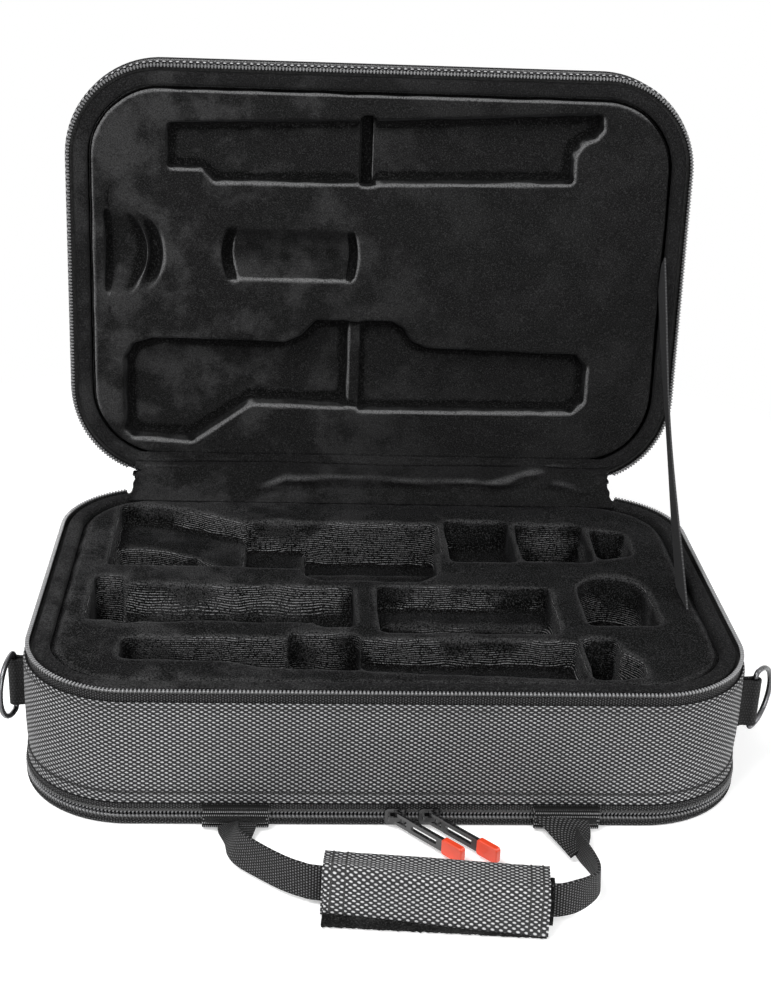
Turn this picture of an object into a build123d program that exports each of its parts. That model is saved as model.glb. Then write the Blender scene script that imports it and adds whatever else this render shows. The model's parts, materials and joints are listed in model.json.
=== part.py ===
from build123d import *
import math
import os

os.makedirs("parts", exist_ok=True)

# An open oboe case: a zipped base with a moulded insert, a lid held open by a stay strap,
# and a flat accessory compartment that zips on underneath. Millimetres, +X to the case's right,
# +Y to its hinge side, +Z up. The origin is the middle of the flat underside.

# Driving sizes of the case
CASE_LENGTH = 345.0
CASE_DEPTH = 232.0
CORNER_R = 52.0
ZIP_PLANE_Z = 71.0          # where the base and the lid meet
LID_HEIGHT = 35.0           # from that plane to the lid's outer face
LID_OPEN_ANGLE = 95.0       # how far the stay strap lets the lid open
HINGE_SETBACK = 3.0         # from the back wall to the hinge line
BOND_GAP = 0.1              # glue line between bonded or sewn layers

# Layers of the walls
FABRIC_T = 1.2
TAPE_T = 0.8
SHELL_T = 4.0
SHELL_FLOOR_T = 3.0
LID_EDGE_R = 10.0

# Zips: two rows of teeth on two tapes, with a gap that the slider's post runs in
ROW_H = 2.3
ROW_T = 2.0
ROW_GAP = 1.4
ROW_PROUD = 0.6             # how far a row stands out of its tape
TAPE_SHOW = 3.6             # width of tape that shows beside a row
TAPE_TUCK = 5.0             # width of tape that is sewn in behind the cover
MAIN_ZIP_END = 32.5         # from a side wall to the main rows' ends, on the back corners
LOWER_ZIP_END = 26.5        # and to the ends of the compartment's rows

# Rim pads and inserts
PAD_OUTER_INSET = 4.3
PAD_W = 8.0
PAD_H = 4.6
PAD_BELOW_ZIP_PLANE = 1.2
PAD_EDGE_R = 2.0
PAD_GROOVE = 1.8            # between the rim pad and the insert
INSERT_BELOW_PAD = 1.8
LID_INSERT_BELOW_PAD = 1.2
WELL_CORNER_R = 3.0
RECESS_TAPER = 12.0         # slope of the lid recesses' walls, in degrees

# Accessory compartment under the base
LOWER_PROUD = 1.5           # the compartment stands this far outside the walls above it
COMPARTMENT_PLANE_Z = 6.3   # where its two rows of teeth meet
LOWER_TAPE_SHOW = 1.0       # width of tape that shows between its lower row and its skin
COVER_EDGE_R = 1.8
BOARD_T = 2.0
BOARD_INSET = 3.0           # from the skin's turned-up edge to the board
HEM_Z = 11.4
HEM_H = 5.4
FLOOR_ABOVE_HEM = 0.4       # the shell's underside above the hem's lower edge
HEM_PROUD = 0.5
COMPARTMENT_OPEN_ANGLE = 80.0

# Webbing, handle and D-rings
WEB_T = 1.4
HANDLE_WEB_W = 18.0
HANDLE_X = 6.0              # middle between the two anchors
HANDLE_HALF_SPAN = 77.0
HANDLE_AXIS_Z = 6.5
HANDLE_WEB_RISE = 5.0       # the webbing's middle stands this far above the axis
HANDLE_PIN_R = 1.5
HANDLE_LUG_L = 5.0
HANDLE_KNUCKLE_L = 28.0
ANCHOR_L = 31.0
ANCHOR_H = 10.0
ANCHOR_ROOT = 1.8           # height of the strip that is sewn to the tape
RUNNING_GAP = 0.25
GRIP_L = 97.0
GRIP_H = 23.0
GRIP_D = 20.0
GRIP_SKIN = 1.6
GRIP_FLAP_T = 1.7
GRIP_FLAP_DROP = 4.6         # from the grip's top to the flap's hinge edge
GRIP_LIFT = 0.3             # of the grip's middle above the webbing's
TAB_W = 25.0
TAB_L = 18.0
TAB_Y = {-1: -56.0, 1: -70.0}  # left and right
TAB_Z = 41.0
TAB_OFF_WALL = 0.3
TAB_TAIL = 3.0              # how far the patch reaches past the ring's bar to the front
RING_WIRE_R = 1.3
RING_BEND_R = 2.6
RING_ARM = 4.0
RING_PLAY = 0.4             # between the tab's edges and the bends of the ring
RING_OFF_WALL = 7.0
RING_REST_ANGLE = {-1: 78.0, 1: -50.0}  # swung to the front from straight out, left and right

# Stay strap
STRAP_T = 1.0
STRAP_W = 20.0
STRAP_Y = -13.0
STRAP_TUCK = 3.0

# Zip sliders and pulls
SLIDER_L = 10.0
SLIDER_W = 8.4
PLATE_T = 1.0
SLIDE_GAP = 0.35
POST_L = 3.0
POST_T = 1.0
POST_FROM_END = 0.6
BRIDGE_L = 7.0
BRIDGE_W = 2.4
BRIDGE_T = 1.0
BRIDGE_RISE = 2.5
PULL_BAR_R = 0.7
PULL_W = 6.4
PULL_T = 1.8
PULL_L = 36.5
PULL_NECK = 9.0              # its first stretch is thinner
PULL_FORK = 6.5              # run of the open fork at the bar
PULL_SLOT = (10.5, 26.0)     # start and end of its slot
PULL_ARM_GAP = 3.0
PULL_SLOT_W = 2.4
TIP_L = 12.0
TIP_GRIP = 7.0              # how far the tip reaches back over the pull
TIP_W = 8.2
TIP_T = 3.4
SLIDER_LEFT_X = 3.0
SLIDER_RIGHT_X = 19.0
PULL_REST_ANGLE = 46.0
MAIN_SLIDER_ANGLE = 14.0    # round the back corner, from straight back

# Sizes worked out from the ones above
HALF_L = CASE_LENGTH / 2
HALF_D = CASE_DEPTH / 2
HINGE_Y = HALF_D + HINGE_SETBACK
HINGE = Axis((0, HINGE_Y, ZIP_PLANE_Z), (1, 0, 0))
BASE_ROW_TOP = ZIP_PLANE_Z - ROW_GAP / 2
BASE_ROW_BOTTOM = BASE_ROW_TOP - ROW_H
COVER_TOP = BASE_ROW_BOTTOM - TAPE_SHOW
TAPE_INSET = FABRIC_T + BOND_GAP
SHELL_INSET = TAPE_INSET + TAPE_T + BOND_GAP
PAD_TOP = ZIP_PLANE_Z - PAD_BELOW_ZIP_PLANE
PAD_BOTTOM = PAD_TOP - PAD_H
SHELL_TOP = PAD_BOTTOM - BOND_GAP
SHELL_BOTTOM = HEM_Z + FLOOR_ABOVE_HEM
INSERT_BOTTOM = SHELL_BOTTOM + SHELL_FLOOR_T + BOND_GAP
INSERT_TOP = PAD_TOP - INSERT_BELOW_PAD
INSERT_INSET = PAD_OUTER_INSET + PAD_W + PAD_GROOVE
INSERT_FOOT_INSET = SHELL_INSET + SHELL_T + BOND_GAP
LID_TOP = ZIP_PLANE_Z + LID_HEIGHT
LOWER_INSET = -LOWER_PROUD
MAIN_ZIP_END_X = HALF_L - MAIN_ZIP_END
LOWER_ZIP_END_X = HALF_L - LOWER_ZIP_END


def mirror_z(z):
    """Height of a lid feature that mirrors a base feature at height z, with the lid shut."""
    return 2 * ZIP_PLANE_Z - z


def open_lid(shape):
    """Moves a lid piece from its shut place to where the stay strap holds it."""
    return shape.rotate(HINGE, -LID_OPEN_ANGLE)


def outline(inset):
    """The case's plan outline, drawn in from the outer fabric by inset."""
    return RectangleRounded(CASE_LENGTH - 2 * inset, CASE_DEPTH - 2 * inset, CORNER_R - inset)


def block(inset, z0, z1):
    """A solid of the case's outline between two heights."""
    return Pos(0, 0, z0) * extrude(outline(inset), z1 - z0)


def band(outer, inner, z0, z1):
    """A ring that follows the walls, from inset outer to inset inner."""
    return Pos(0, 0, z0) * extrude(outline(outer) - outline(inner), z1 - z0)


def without_back(shape, end_x):
    """Leaves out the hinge side between the two ends of a zip."""
    low, high = shape.bounding_box().min.Z, shape.bounding_box().max.Z
    back = Box(2 * end_x, CASE_DEPTH, high - low + 2)
    return shape - Pos(0, CASE_DEPTH / 2, (low + high) / 2) * back


def edges_at(shape, z):
    """The edges that lie flat at one height."""
    return shape.edges().filter_by(lambda e: abs(e.bounding_box().min.Z - z) < 0.01
                                   and abs(e.bounding_box().max.Z - z) < 0.01)


def face_of(points, radius):
    """A flat face with its corners rounded."""
    face = make_face(Polyline(*points, close=True))
    return fillet(face.vertices(), radius)


def one(shape):
    """The single solid of a shape."""
    return shape.solids()[0]


# Base: shell, cover, hem, rim pad and zip

def base_shell():
    """The stiff tub under the fabric."""
    walls = block(SHELL_INSET, SHELL_BOTTOM, SHELL_TOP)
    room = block(SHELL_INSET + SHELL_T, SHELL_BOTTOM + SHELL_FLOOR_T, SHELL_TOP + 1)
    return walls - room


def base_cover():
    """The woven fabric round the walls."""
    return band(0, FABRIC_T, HEM_Z + HEM_H + BOND_GAP, COVER_TOP)


def base_hem():
    """The folded and stitched strip along the cover's lower edge."""
    return band(-HEM_PROUD, FABRIC_T, HEM_Z, HEM_Z + HEM_H)


def rim_pad(z0, z1, soft_z):
    """The padded lip between a zip and an insert, rounded on its open side."""
    ring = band(PAD_OUTER_INSET, PAD_OUTER_INSET + PAD_W, z0, z1)
    return fillet(edges_at(ring, soft_z), PAD_EDGE_R)


def zip_tape(z0, z1):
    """The tape of one side of the main zip."""
    return without_back(band(TAPE_INSET, TAPE_INSET + TAPE_T, z0, z1), MAIN_ZIP_END_X)


def zip_row(z0, z1):
    """One row of the main zip's teeth, as the strip that they fill."""
    outer = TAPE_INSET - ROW_PROUD
    return without_back(band(outer, outer + ROW_T, z0, z1), MAIN_ZIP_END_X)


# Moulded inserts. Plan points run from the case's middle; depths from the insert's face.

def pocket(points, depth, top, radius=WELL_CORNER_R):
    """A flat-bottomed well, open at the insert's face."""
    return Pos(0, 0, top - depth) * extrude(face_of(points, radius), depth + 1)


def trough(x0, x1, y, half_w, depth, top, end_half_w=None):
    """A round-bottomed well along X, which may taper to another half width."""
    far = half_w if end_half_w is None else end_half_w

    def section(x, w):
        d = depth * w / half_w
        r = (w * w + d * d) / (2 * d)
        return Plane(origin=(x, y, top - d + r), x_dir=(0, 1, 0), z_dir=(1, 0, 0)) * Circle(r)

    tube = loft([section(x0, half_w), section(x1, far)])
    reach = Pos((x0 + x1) / 2, y, top + half_w) * Box(x1 - x0, 2 * half_w, 2 * half_w)
    keep = Pos((x0 + x1) / 2, y, top - depth) * Box(x1 - x0, 2 * half_w, 2 * depth + 2)
    return (tube & keep) + (reach & tube)


FRONT_WELLS = [
    ([(-127, -60), (-46, -60), (-46, -88), (-60, -88), (-72, -83), (-84, -80.5), (-127, -80.5)], 20),
    ([(-48, -55), (-13, -55), (-13, -89), (-48, -88)], 27),
    ([(-13, -60), (92, -60), (92, -96), (60, -95), (0, -91), (-13, -90)], 15),
    ([(-10, -77), (90, -77), (90, -95.5), (60, -94.5), (0, -90.5), (-10, -90)], 28),
    ([(95, -57), (112, -57), (112, -96), (95, -96)], 24),
    ([(110, -66), (121, -80), (121, -95), (110, -95)], 13),
]
MIDDLE_WELLS = [
    ([(-147, 5), (-132, 5), (-132, -42), (-147, -42)], 28),
    ([(-34, -26), (-15, -26), (-15, -47), (-34, -47)], 25),
    ([(-3, -3), (86, -3), (86, -52), (-3, -52)], 14),
    ([(-1, -21), (84, -21), (84, -51), (-1, -51)], 30),
    ([(101, -6), (137, -6), (137, -43), (101, -43)], 28),
]
BACK_WELLS = [
    ([(-142, 95), (-119, 93), (-99, 86), (-80, 76), (-70, 70), (-70, 18), (-142, 18)], 12),
    ([(-140, 62), (-116, 60), (-99, 52), (-85, 39), (-76, 20), (-140, 20)], 30),
    ([(-72, 74), (-38, 74), (-38, 17), (-72, 17)], 19),
    ([(-40, 74), (34, 74), (34, 36), (-40, 36)], 26),
    ([(-40, 40), (30, 40), (30, 12), (20, 3), (-31, 3), (-40, 9)], 13),
    ([(38, 79), (74, 79), (74, 27), (38, 27)], 18),
    ([(77.5, 76), (115.5, 76), (115.5, 29), (77.5, 29)], 28),
    ([(119, 71), (138, 66), (138, 38), (119, 31)], 20),
]
BELL_Y = -24.0
BELL_WELL = dict(x0=-133, x1=-72, y=BELL_Y, half_w=21.5, depth=21, end_half_w=18)
NECK_WELL = dict(x0=-73, x1=-15, y=BELL_Y, half_w=19, depth=19)
ROUND_WELL = dict(x=119, y=-7, r=18, depth=28)


def base_insert():
    """The moulded, plush-covered foam that holds the joints, the bell and the small things."""
    solid = block(INSERT_FOOT_INSET, INSERT_BOTTOM, SHELL_TOP)
    solid = solid + block(INSERT_INSET, SHELL_TOP - 1, INSERT_TOP)
    for points, depth in FRONT_WELLS + MIDDLE_WELLS + BACK_WELLS:
        solid = solid - pocket(points, depth, INSERT_TOP)
    solid = solid - trough(top=INSERT_TOP, **BELL_WELL)
    solid = solid - trough(top=INSERT_TOP, **NECK_WELL)
    cup = Pos(ROUND_WELL["x"], ROUND_WELL["y"], INSERT_TOP - ROUND_WELL["depth"] / 2)
    solid = solid - cup * Cylinder(ROUND_WELL["r"], ROUND_WELL["depth"] + 0.01)
    return one(solid)


# The lid's recesses, as seen with the lid open: v runs from the middle away from the hinge.
LID_RECESSES = [
    ([(-118, 85), (-10, 89), (-10, 54), (-92, 53), (-99, 60), (-118, 60)], 6.5),
    ([(-6, 89), (120, 96), (121, 87), (117, 82), (110, 79), (106, 73), (106, 57), (-6, 54)], 9.5),
    ([(-143, -46), (-138, -38), (-126, -34), (-52, -35), (-44, -31), (-35, -22), (-15, -22),
      (-15, -73), (-71, -72), (-104, -95), (-138, -93), (-143, -88)], 11),
    ([(-11, -22), (9, -22), (16, -26), (21, -34), (29, -37), (114, -39), (121, -46), (121, -67),
      (114, -74), (-11, -75)], 8.5),
]
LID_DIVIDERS = [
    ([(-12, 88.5), (-4, 89), (-4, 54.5), (-12, 54.5)], 4),
    ([(-17, -23), (-9, -23), (-9, -73), (-17, -72)], 5),
]
LID_TROUGHS = [
    dict(x0=-152, x1=-129, y=-14, half_w=24, depth=9.5),
    dict(x0=-127, x1=-120, y=-14, half_w=20, depth=8),
    dict(x0=-86, x1=-13, y=-14, half_w=14, depth=6.5),
    dict(x0=-88, x1=-82, y=-14, half_w=15, depth=9),
    dict(x0=-17, x1=-12, y=-14, half_w=14, depth=9),
]


def lid_insert():
    """The lid's moulded insert, made face up like the base's and then turned over."""
    face = 0.0
    foot = PAD_H + INSERT_BELOW_PAD
    back = LID_HEIGHT - PAD_BELOW_ZIP_PLANE - LID_INSERT_BELOW_PAD - FABRIC_T - SHELL_T - 3 * BOND_GAP
    solid = Pos(0, 0, -back) * extrude(outline(INSERT_INSET), back)
    solid = solid + Pos(0, 0, -back) * extrude(outline(INSERT_FOOT_INSET + 6), back - foot)
    for points, depth in LID_RECESSES:
        cut = Pos(0, 0, 0) * extrude(face_of(points, WELL_CORNER_R), -depth, taper=RECESS_TAPER)
        solid = solid - cut
    for points, depth in LID_DIVIDERS:
        solid = solid - pocket(points, depth, face, 1.0)
    for size in LID_TROUGHS:
        size = dict(size, y=-size["y"])
        solid = solid - trough(top=face, **size)
    turned = solid.rotate(Axis.X, 180)
    return one(Pos(0, 0, ZIP_PLANE_Z + PAD_BELOW_ZIP_PLANE + LID_INSERT_BELOW_PAD) * turned)


# Lid: shell, covers and zip

def dome(inset, z0, drop):
    """A block with the lid's rounded outer edge, its face lowered by drop."""
    top = LID_TOP - drop
    solid = block(inset, z0, top)
    return fillet(edges_at(solid, top), LID_EDGE_R - inset)


LID_SEAM_Z = LID_TOP - LID_EDGE_R - 1.0


def lid_shell():
    """The stiff tray inside the lid's fabric."""
    low = mirror_z(SHELL_TOP)
    outer = dome(SHELL_INSET, low, FABRIC_T + BOND_GAP)
    inner = dome(SHELL_INSET + SHELL_T, low - 1, FABRIC_T + BOND_GAP + SHELL_T)
    return outer - inner


def lid_side_band():
    """The woven fabric round the lid's walls, up to the seam."""
    return band(0, FABRIC_T, mirror_z(COVER_TOP), LID_SEAM_Z)


def lid_top_panel():
    """The woven outer face of the lid, with its rounded edge."""
    low = LID_SEAM_Z + BOND_GAP
    return dome(0, low, 0) - dome(FABRIC_T, low - 1, FABRIC_T)


# Accessory compartment

LOWER_TAPE_INSET = LOWER_INSET + HEM_PROUD
LOWER_ROW_INSET = LOWER_TAPE_INSET - ROW_PROUD


def lower_row(z0, z1):
    """One row of the compartment zip's teeth."""
    ring = band(LOWER_ROW_INSET, LOWER_ROW_INSET + ROW_T, z0, z1)
    return without_back(ring, LOWER_ZIP_END_X)


def lower_tape(z0, z1):
    """The tape of one side of the compartment's zip."""
    ring = band(LOWER_TAPE_INSET, LOWER_TAPE_INSET + TAPE_T, z0, z1)
    return without_back(ring, LOWER_ZIP_END_X)


UPPER_ROW_BOTTOM = COMPARTMENT_PLANE_Z + ROW_GAP / 2
LOWER_ROW_TOP = COMPARTMENT_PLANE_Z - ROW_GAP / 2
LOWER_TAPE_BOTTOM = LOWER_ROW_TOP - ROW_H - LOWER_TAPE_SHOW


def bottom_cover():
    """The woven skin of the compartment's cover, with a low turned-up edge."""
    top = LOWER_TAPE_BOTTOM - BOND_GAP
    solid = block(LOWER_INSET, 0, top)
    solid = fillet(edges_at(solid, 0), COVER_EDGE_R)
    return solid - block(LOWER_INSET + FABRIC_T, FABRIC_T, top + 1)


def bottom_board():
    """The board that keeps the compartment's cover flat."""
    underside = FABRIC_T + BOND_GAP
    return block(LOWER_INSET + FABRIC_T + BOARD_INSET, underside, underside + BOARD_T)


STRIP_END_GAP = 0.2         # between the strip and the ends of the rows


def bottom_hinge_strip():
    """The fabric strip that hinges the compartment's cover along the back."""
    low, high = LOWER_TAPE_BOTTOM, HEM_Z - BOND_GAP
    ring = band(LOWER_TAPE_INSET, LOWER_TAPE_INSET + TAPE_T, low, high)
    back = Box(2 * (LOWER_ZIP_END_X - STRIP_END_GAP), CASE_DEPTH, high - low + 2)
    return ring & Pos(0, CASE_DEPTH / 2, (low + high) / 2) * back


# Fabric hinges and stay strap

def ribbon(points, radii, thickness, length):
    """A strip of cloth along X that follows a bent line in the YZ plane."""
    face = trace(FilletPolyline(*points, radius=radii), thickness)
    return extrude(Plane.YZ * face, length / 2, both=True)


def lid_point(y, z):
    """Where a point of the shut lid goes when the lid is open."""
    turn = math.radians(LID_OPEN_ANGLE)
    dy, dz = y - HINGE_Y, z - ZIP_PLANE_Z
    return (HINGE_Y + dy * math.cos(turn) + dz * math.sin(turn),
            ZIP_PLANE_Z - dy * math.sin(turn) + dz * math.cos(turn))


CLOTH_OFF = 0.3              # between a hinge cloth and what it lies on
STRIP_LAP = 12.0             # how far the outer strip laps onto each wall
STRIP_BEND_LOW = 1.5         # its bends, below and above the zip plane
STRIP_BEND_HIGH = 2.0
STRIP_BEND_R = 1.0


def hinge_strip():
    """The outer cloth hinge, sewn to the two back walls."""
    y = HALF_D + WEB_T / 2 + CLOTH_OFF
    low = (y, COVER_TOP - STRIP_LAP)
    bend = (y, ZIP_PLANE_Z - STRIP_BEND_LOW)
    lid_bend = lid_point(y, ZIP_PLANE_Z + STRIP_BEND_HIGH)
    far = lid_point(y, mirror_z(COVER_TOP) + STRIP_LAP)
    length = 2 * (HALF_L - CORNER_R)
    return ribbon([low, bend, lid_bend, far], [STRIP_BEND_R, STRIP_BEND_R], WEB_T, length)


GUSSET_LENGTH = 2 * (MAIN_ZIP_END_X - 1.0)
GUSSET_T = 1.2
GUSSET_BEND_R = 3.0
GUSSET_LINE = (-4.5, 1.8, -1.2, -7.0)   # its start, two bends and end, from the rim pads' inner side


def hinge_gusset():
    """The plush cloth that hides the hinge inside the case."""
    over = GUSSET_T / 2 + CLOTH_OFF
    y0, y1, y2, y3 = (HALF_D - PAD_OUTER_INSET - PAD_W + step for step in GUSSET_LINE)
    start = (y0, PAD_TOP + over)
    bend = (y1, PAD_TOP + over)
    top_bend = lid_point(y2, mirror_z(PAD_TOP) - over)
    end = lid_point(y3, mirror_z(PAD_TOP) - over)
    return ribbon([start, bend, top_bend, end], [GUSSET_BEND_R, GUSSET_BEND_R], GUSSET_T, GUSSET_LENGTH)


def stay_strap():
    """The strap that stops the lid, tucked into the two grooves at the right."""
    x = HALF_L - PAD_OUTER_INSET - PAD_W - PAD_GROOVE / 2
    y0, y1 = STRAP_Y - STRAP_W / 2, STRAP_Y + STRAP_W / 2
    low = PAD_TOP - STRAP_TUCK
    corners = [(y0, low), (y1, low), lid_point(y1, mirror_z(low)), lid_point(y0, mirror_z(low))]
    face = Plane.YZ * make_face(Polyline(*corners, close=True))
    return Pos(x, 0, 0) * extrude(face, STRAP_T / 2, both=True)


# Handle

ANCHOR_STAND_OFF = 1.6       # of the patch's back from the compartment's walls
ANCHOR_BACK_Y = -(HALF_D + LOWER_PROUD + ANCHOR_STAND_OFF)
ANCHOR_TOP_Z = HEM_Z - 0.2
LUG_WALL = 1.1
HANDLE_AXIS_Y = ANCHOR_BACK_Y - WEB_T - RUNNING_GAP - HANDLE_PIN_R
LUG_R = HANDLE_PIN_R + RUNNING_GAP + LUG_WALL


def handle_anchor(x):
    """A webbing patch sewn in under the hem, with the loops that carry the handle."""
    patch = Pos(x, ANCHOR_BACK_Y - WEB_T / 2, ANCHOR_TOP_Z - ANCHOR_H / 2) * Box(ANCHOR_L, WEB_T, ANCHOR_H)
    root_y = -(HALF_D - LOWER_TAPE_INSET) - BOND_GAP
    root = Pos(x, (ANCHOR_BACK_Y + root_y) / 2, HEM_Z - BOND_GAP - ANCHOR_ROOT / 2)
    shape = patch + root * Box(ANCHOR_L, root_y - ANCHOR_BACK_Y + 0.02, ANCHOR_ROOT)
    for side in (-1, 1):
        at = Pos(x + side * (ANCHOR_L - HANDLE_LUG_L) / 2, HANDLE_AXIS_Y, HANDLE_AXIS_Z) * Rot(0, 90, 0)
        shape = shape + at * Cylinder(LUG_R, HANDLE_LUG_L)
        shape = shape - at * Cylinder(HANDLE_PIN_R + RUNNING_GAP, HANDLE_LUG_L + 1)
    return one(shape)


HANDLE_LEFT = HANDLE_X - HANDLE_HALF_SPAN
HANDLE_RIGHT = HANDLE_X + HANDLE_HALF_SPAN
HANDLE_PATH = [(HANDLE_LEFT - 8.0, -1.0), (HANDLE_LEFT - 2.0, -25.0), (HANDLE_LEFT + 33.0, -52.7),
               (HANDLE_RIGHT - 12.0, -65.3), (HANDLE_RIGHT + 12.0, -59.0), (HANDLE_RIGHT + 4.0, -1.0)]
HANDLE_BENDS = [16.0, 18.0, 20.0, 15.0]
FOLD_HALF_W = 1.2            # the folded webbing's half width at the axis
FOLD_THROAT = (6.0, 3.0)     # its run and half height where it clears the patch
FOLD_RUN = 17.0              # run at which it has opened to its full width
FOLD_RUN_BELOW = 12.0


def handle_strap():
    """The webbing loop, standing on its edge, with a folded end in each anchor."""
    points = [(x, HANDLE_AXIS_Y + y) for x, y in HANDLE_PATH]
    line = FilletPolyline(*points, radius=HANDLE_BENDS)
    web = extrude(trace(line, WEB_T), HANDLE_WEB_W / 2, both=True)
    web = Pos(0, 0, HANDLE_WEB_RISE) * web
    low, high = HANDLE_WEB_RISE - HANDLE_WEB_W / 2, HANDLE_WEB_RISE + HANDLE_WEB_W / 2
    side = [(2, FOLD_HALF_W), (2, -FOLD_HALF_W), (-FOLD_RUN_BELOW, low), (-CASE_DEPTH, low),
            (-CASE_DEPTH, high), (-FOLD_RUN, high), (-FOLD_THROAT[0], FOLD_THROAT[1])]
    wedge = extrude(Plane.YZ * make_face(Polyline(*side, close=True)), CASE_LENGTH, both=True)
    shape = web & Pos(0, HANDLE_AXIS_Y, 0) * wedge
    for x in (HANDLE_LEFT, HANDLE_RIGHT):
        shape = shape + Pos(x, HANDLE_AXIS_Y, 0) * Rot(0, 90, 0) * Cylinder(HANDLE_PIN_R, HANDLE_KNUCKLE_L)
    return one(Pos(0, 0, HANDLE_AXIS_Z) * shape)


GRIP_MIDDLE = ((HANDLE_PATH[2][0] + HANDLE_PATH[3][0]) / 2, (HANDLE_PATH[2][1] + HANDLE_PATH[3][1]) / 2)
GRIP_TURN = math.degrees(math.atan2(HANDLE_PATH[3][1] - HANDLE_PATH[2][1],
                                    HANDLE_PATH[3][0] - HANDLE_PATH[2][0]))
GRIP_Z = HANDLE_AXIS_Z + HANDLE_WEB_RISE + GRIP_LIFT
GRIP_PLACE = Pos(GRIP_MIDDLE[0], HANDLE_AXIS_Y + GRIP_MIDDLE[1], GRIP_Z) * Rot(0, 0, GRIP_TURN)
GRIP_R = 4.5
FLAP_Y = -GRIP_D / 2 + GRIP_SKIN / 2 - 0.6


def grip_section(depth, height, radius):
    return Plane.YZ * RectangleRounded(depth, height, radius)


def grip_pad():
    """The foam sleeve round the webbing."""
    section = grip_section(GRIP_D - 2 * GRIP_SKIN - 0.2, GRIP_H - 2 * GRIP_SKIN - 0.2, GRIP_R - GRIP_SKIN)
    solid = extrude(section, GRIP_L / 2 - 0.6, both=True)
    slot = Pos(0, 0, -GRIP_LIFT) * Box(GRIP_L + 2, WEB_T + 0.3, HANDLE_WEB_W + 0.3)
    return GRIP_PLACE * one(solid - slot)


def grip_wrap():
    """The woven wrap: top, back and underside, with a ply that stands out below the flap."""
    outer = extrude(grip_section(GRIP_D, GRIP_H, GRIP_R), GRIP_L / 2, both=True)
    inner = extrude(grip_section(GRIP_D - 2 * GRIP_SKIN, GRIP_H - 2 * GRIP_SKIN, GRIP_R - GRIP_SKIN),
                    GRIP_L / 2 + 1, both=True)
    top = GRIP_H / 2 - GRIP_FLAP_DROP + GRIP_FLAP_T / 2 + 0.3
    bottom = -GRIP_H / 2 + GRIP_SKIN
    front = Pos(0, -GRIP_D / 2, (top + bottom) / 2) * Box(GRIP_L + 2, 2 * GRIP_SKIN + 0.6, top - bottom)
    ply = Pos(0, -GRIP_D / 2 - 1.0, -GRIP_H / 2 + GRIP_SKIN / 2) * Box(GRIP_L - 2, GRIP_D / 2, GRIP_SKIN)
    return GRIP_PLACE * one(outer - inner - front + ply)


def grip_flap():
    """The woven flap that closes the wrap down its front."""
    top, bottom = GRIP_H / 2 - GRIP_FLAP_DROP, -GRIP_H / 2 + 2 * GRIP_SKIN
    plate = Pos(0, FLAP_Y, (top + bottom) / 2) * Box(GRIP_L, GRIP_FLAP_T, top - bottom)
    edge = Pos(0, FLAP_Y, top) * Rot(0, 90, 0) * Cylinder(GRIP_FLAP_T / 2, GRIP_L)
    return GRIP_PLACE * one(plate + edge)


# D-rings and their tabs

def ring_tab(side):
    """A webbing tab sewn to the side wall, looped round the ring's straight bar."""
    wall = HALF_L + TAB_OFF_WALL
    y = TAB_Y[side]
    patch = Pos(wall + WEB_T / 2, y + TAB_L / 2 - TAB_TAIL, TAB_Z) * Box(WEB_T, TAB_L, TAB_W)
    neck_l = RING_OFF_WALL - TAB_OFF_WALL
    neck = Pos(wall + neck_l / 2, y, TAB_Z) * Box(neck_l, 2 * WEB_T, TAB_W)
    at = Pos(HALF_L + RING_OFF_WALL, y, TAB_Z)
    bore = RING_WIRE_R + RUNNING_GAP
    shape = patch + neck + at * Cylinder(bore + WEB_T, TAB_W) - at * Cylinder(bore, TAB_W + 1)
    shape = one(shape)
    return shape if side > 0 else one(shape.mirror(Plane.YZ))


def d_ring(side):
    """A wire D with its straight bar in the tab."""
    half = TAB_W / 2 + RING_PLAY + RING_BEND_R
    back = FilletPolyline((RING_ARM, half), (0, half), (0, -half), (RING_ARM, -half), radius=RING_BEND_R)
    bow = ThreePointArc((RING_ARM, -half), (RING_ARM + half, 0), (RING_ARM, half))
    path = Plane.XZ * Wire(back.edges() + bow.edges())
    start = Plane(origin=(RING_ARM + half, 0, 0), z_dir=(0, 0, 1))
    ring = sweep(start * Circle(RING_WIRE_R), path=path)
    turned = Rot(0, 0, -RING_REST_ANGLE[side]) * ring
    placed = Pos(HALF_L + RING_OFF_WALL, TAB_Y[side], TAB_Z) * turned
    return one(placed) if side > 0 else one(placed.mirror(Plane.YZ))


# Zip sliders and pulls. Local frame: X along the zip, -Y outwards, Z across the tape,
# with the origin on the rows' outer face at the plane between the rows.

def slider():
    """A slider: outer plate with a bridge for the pull, a post between the rows, and an inner plate."""
    outer = Pos(0, -SLIDE_GAP - PLATE_T / 2, 0) * Box(SLIDER_L, PLATE_T, SLIDER_W)
    outer = fillet(outer.edges().filter_by(Axis.Y), 2.0)
    inner = Pos(0, ROW_T + SLIDE_GAP + PLATE_T / 2, 0) * Box(SLIDER_L * 0.8, PLATE_T, SLIDER_W * 0.8)
    post_reach = ROW_T + 2 * SLIDE_GAP + PLATE_T
    post = Pos((SLIDER_L - POST_L) / 2 - POST_FROM_END, ROW_T / 2, 0) * Box(POST_L, post_reach, POST_T)
    y_top = -SLIDE_GAP - PLATE_T - BRIDGE_RISE
    bridge = Pos(0, y_top / 2 - SLIDE_GAP / 2, 0) * Box(BRIDGE_L, -y_top - SLIDE_GAP, BRIDGE_W)
    bridge = fillet(bridge.edges().filter_by(Axis.Z).group_by(Axis.Y)[0], 1.2)
    window = Pos(0, -SLIDE_GAP - PLATE_T - (BRIDGE_RISE - BRIDGE_T) / 2, 0)
    window = window * Box(BRIDGE_L - 2 * BRIDGE_T, BRIDGE_RISE - BRIDGE_T, BRIDGE_W + 1)
    return one(outer + inner + post + (bridge - window))


PULL_AXIS_Y = -SLIDE_GAP - PLATE_T - (BRIDGE_RISE - BRIDGE_T) / 2


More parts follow.
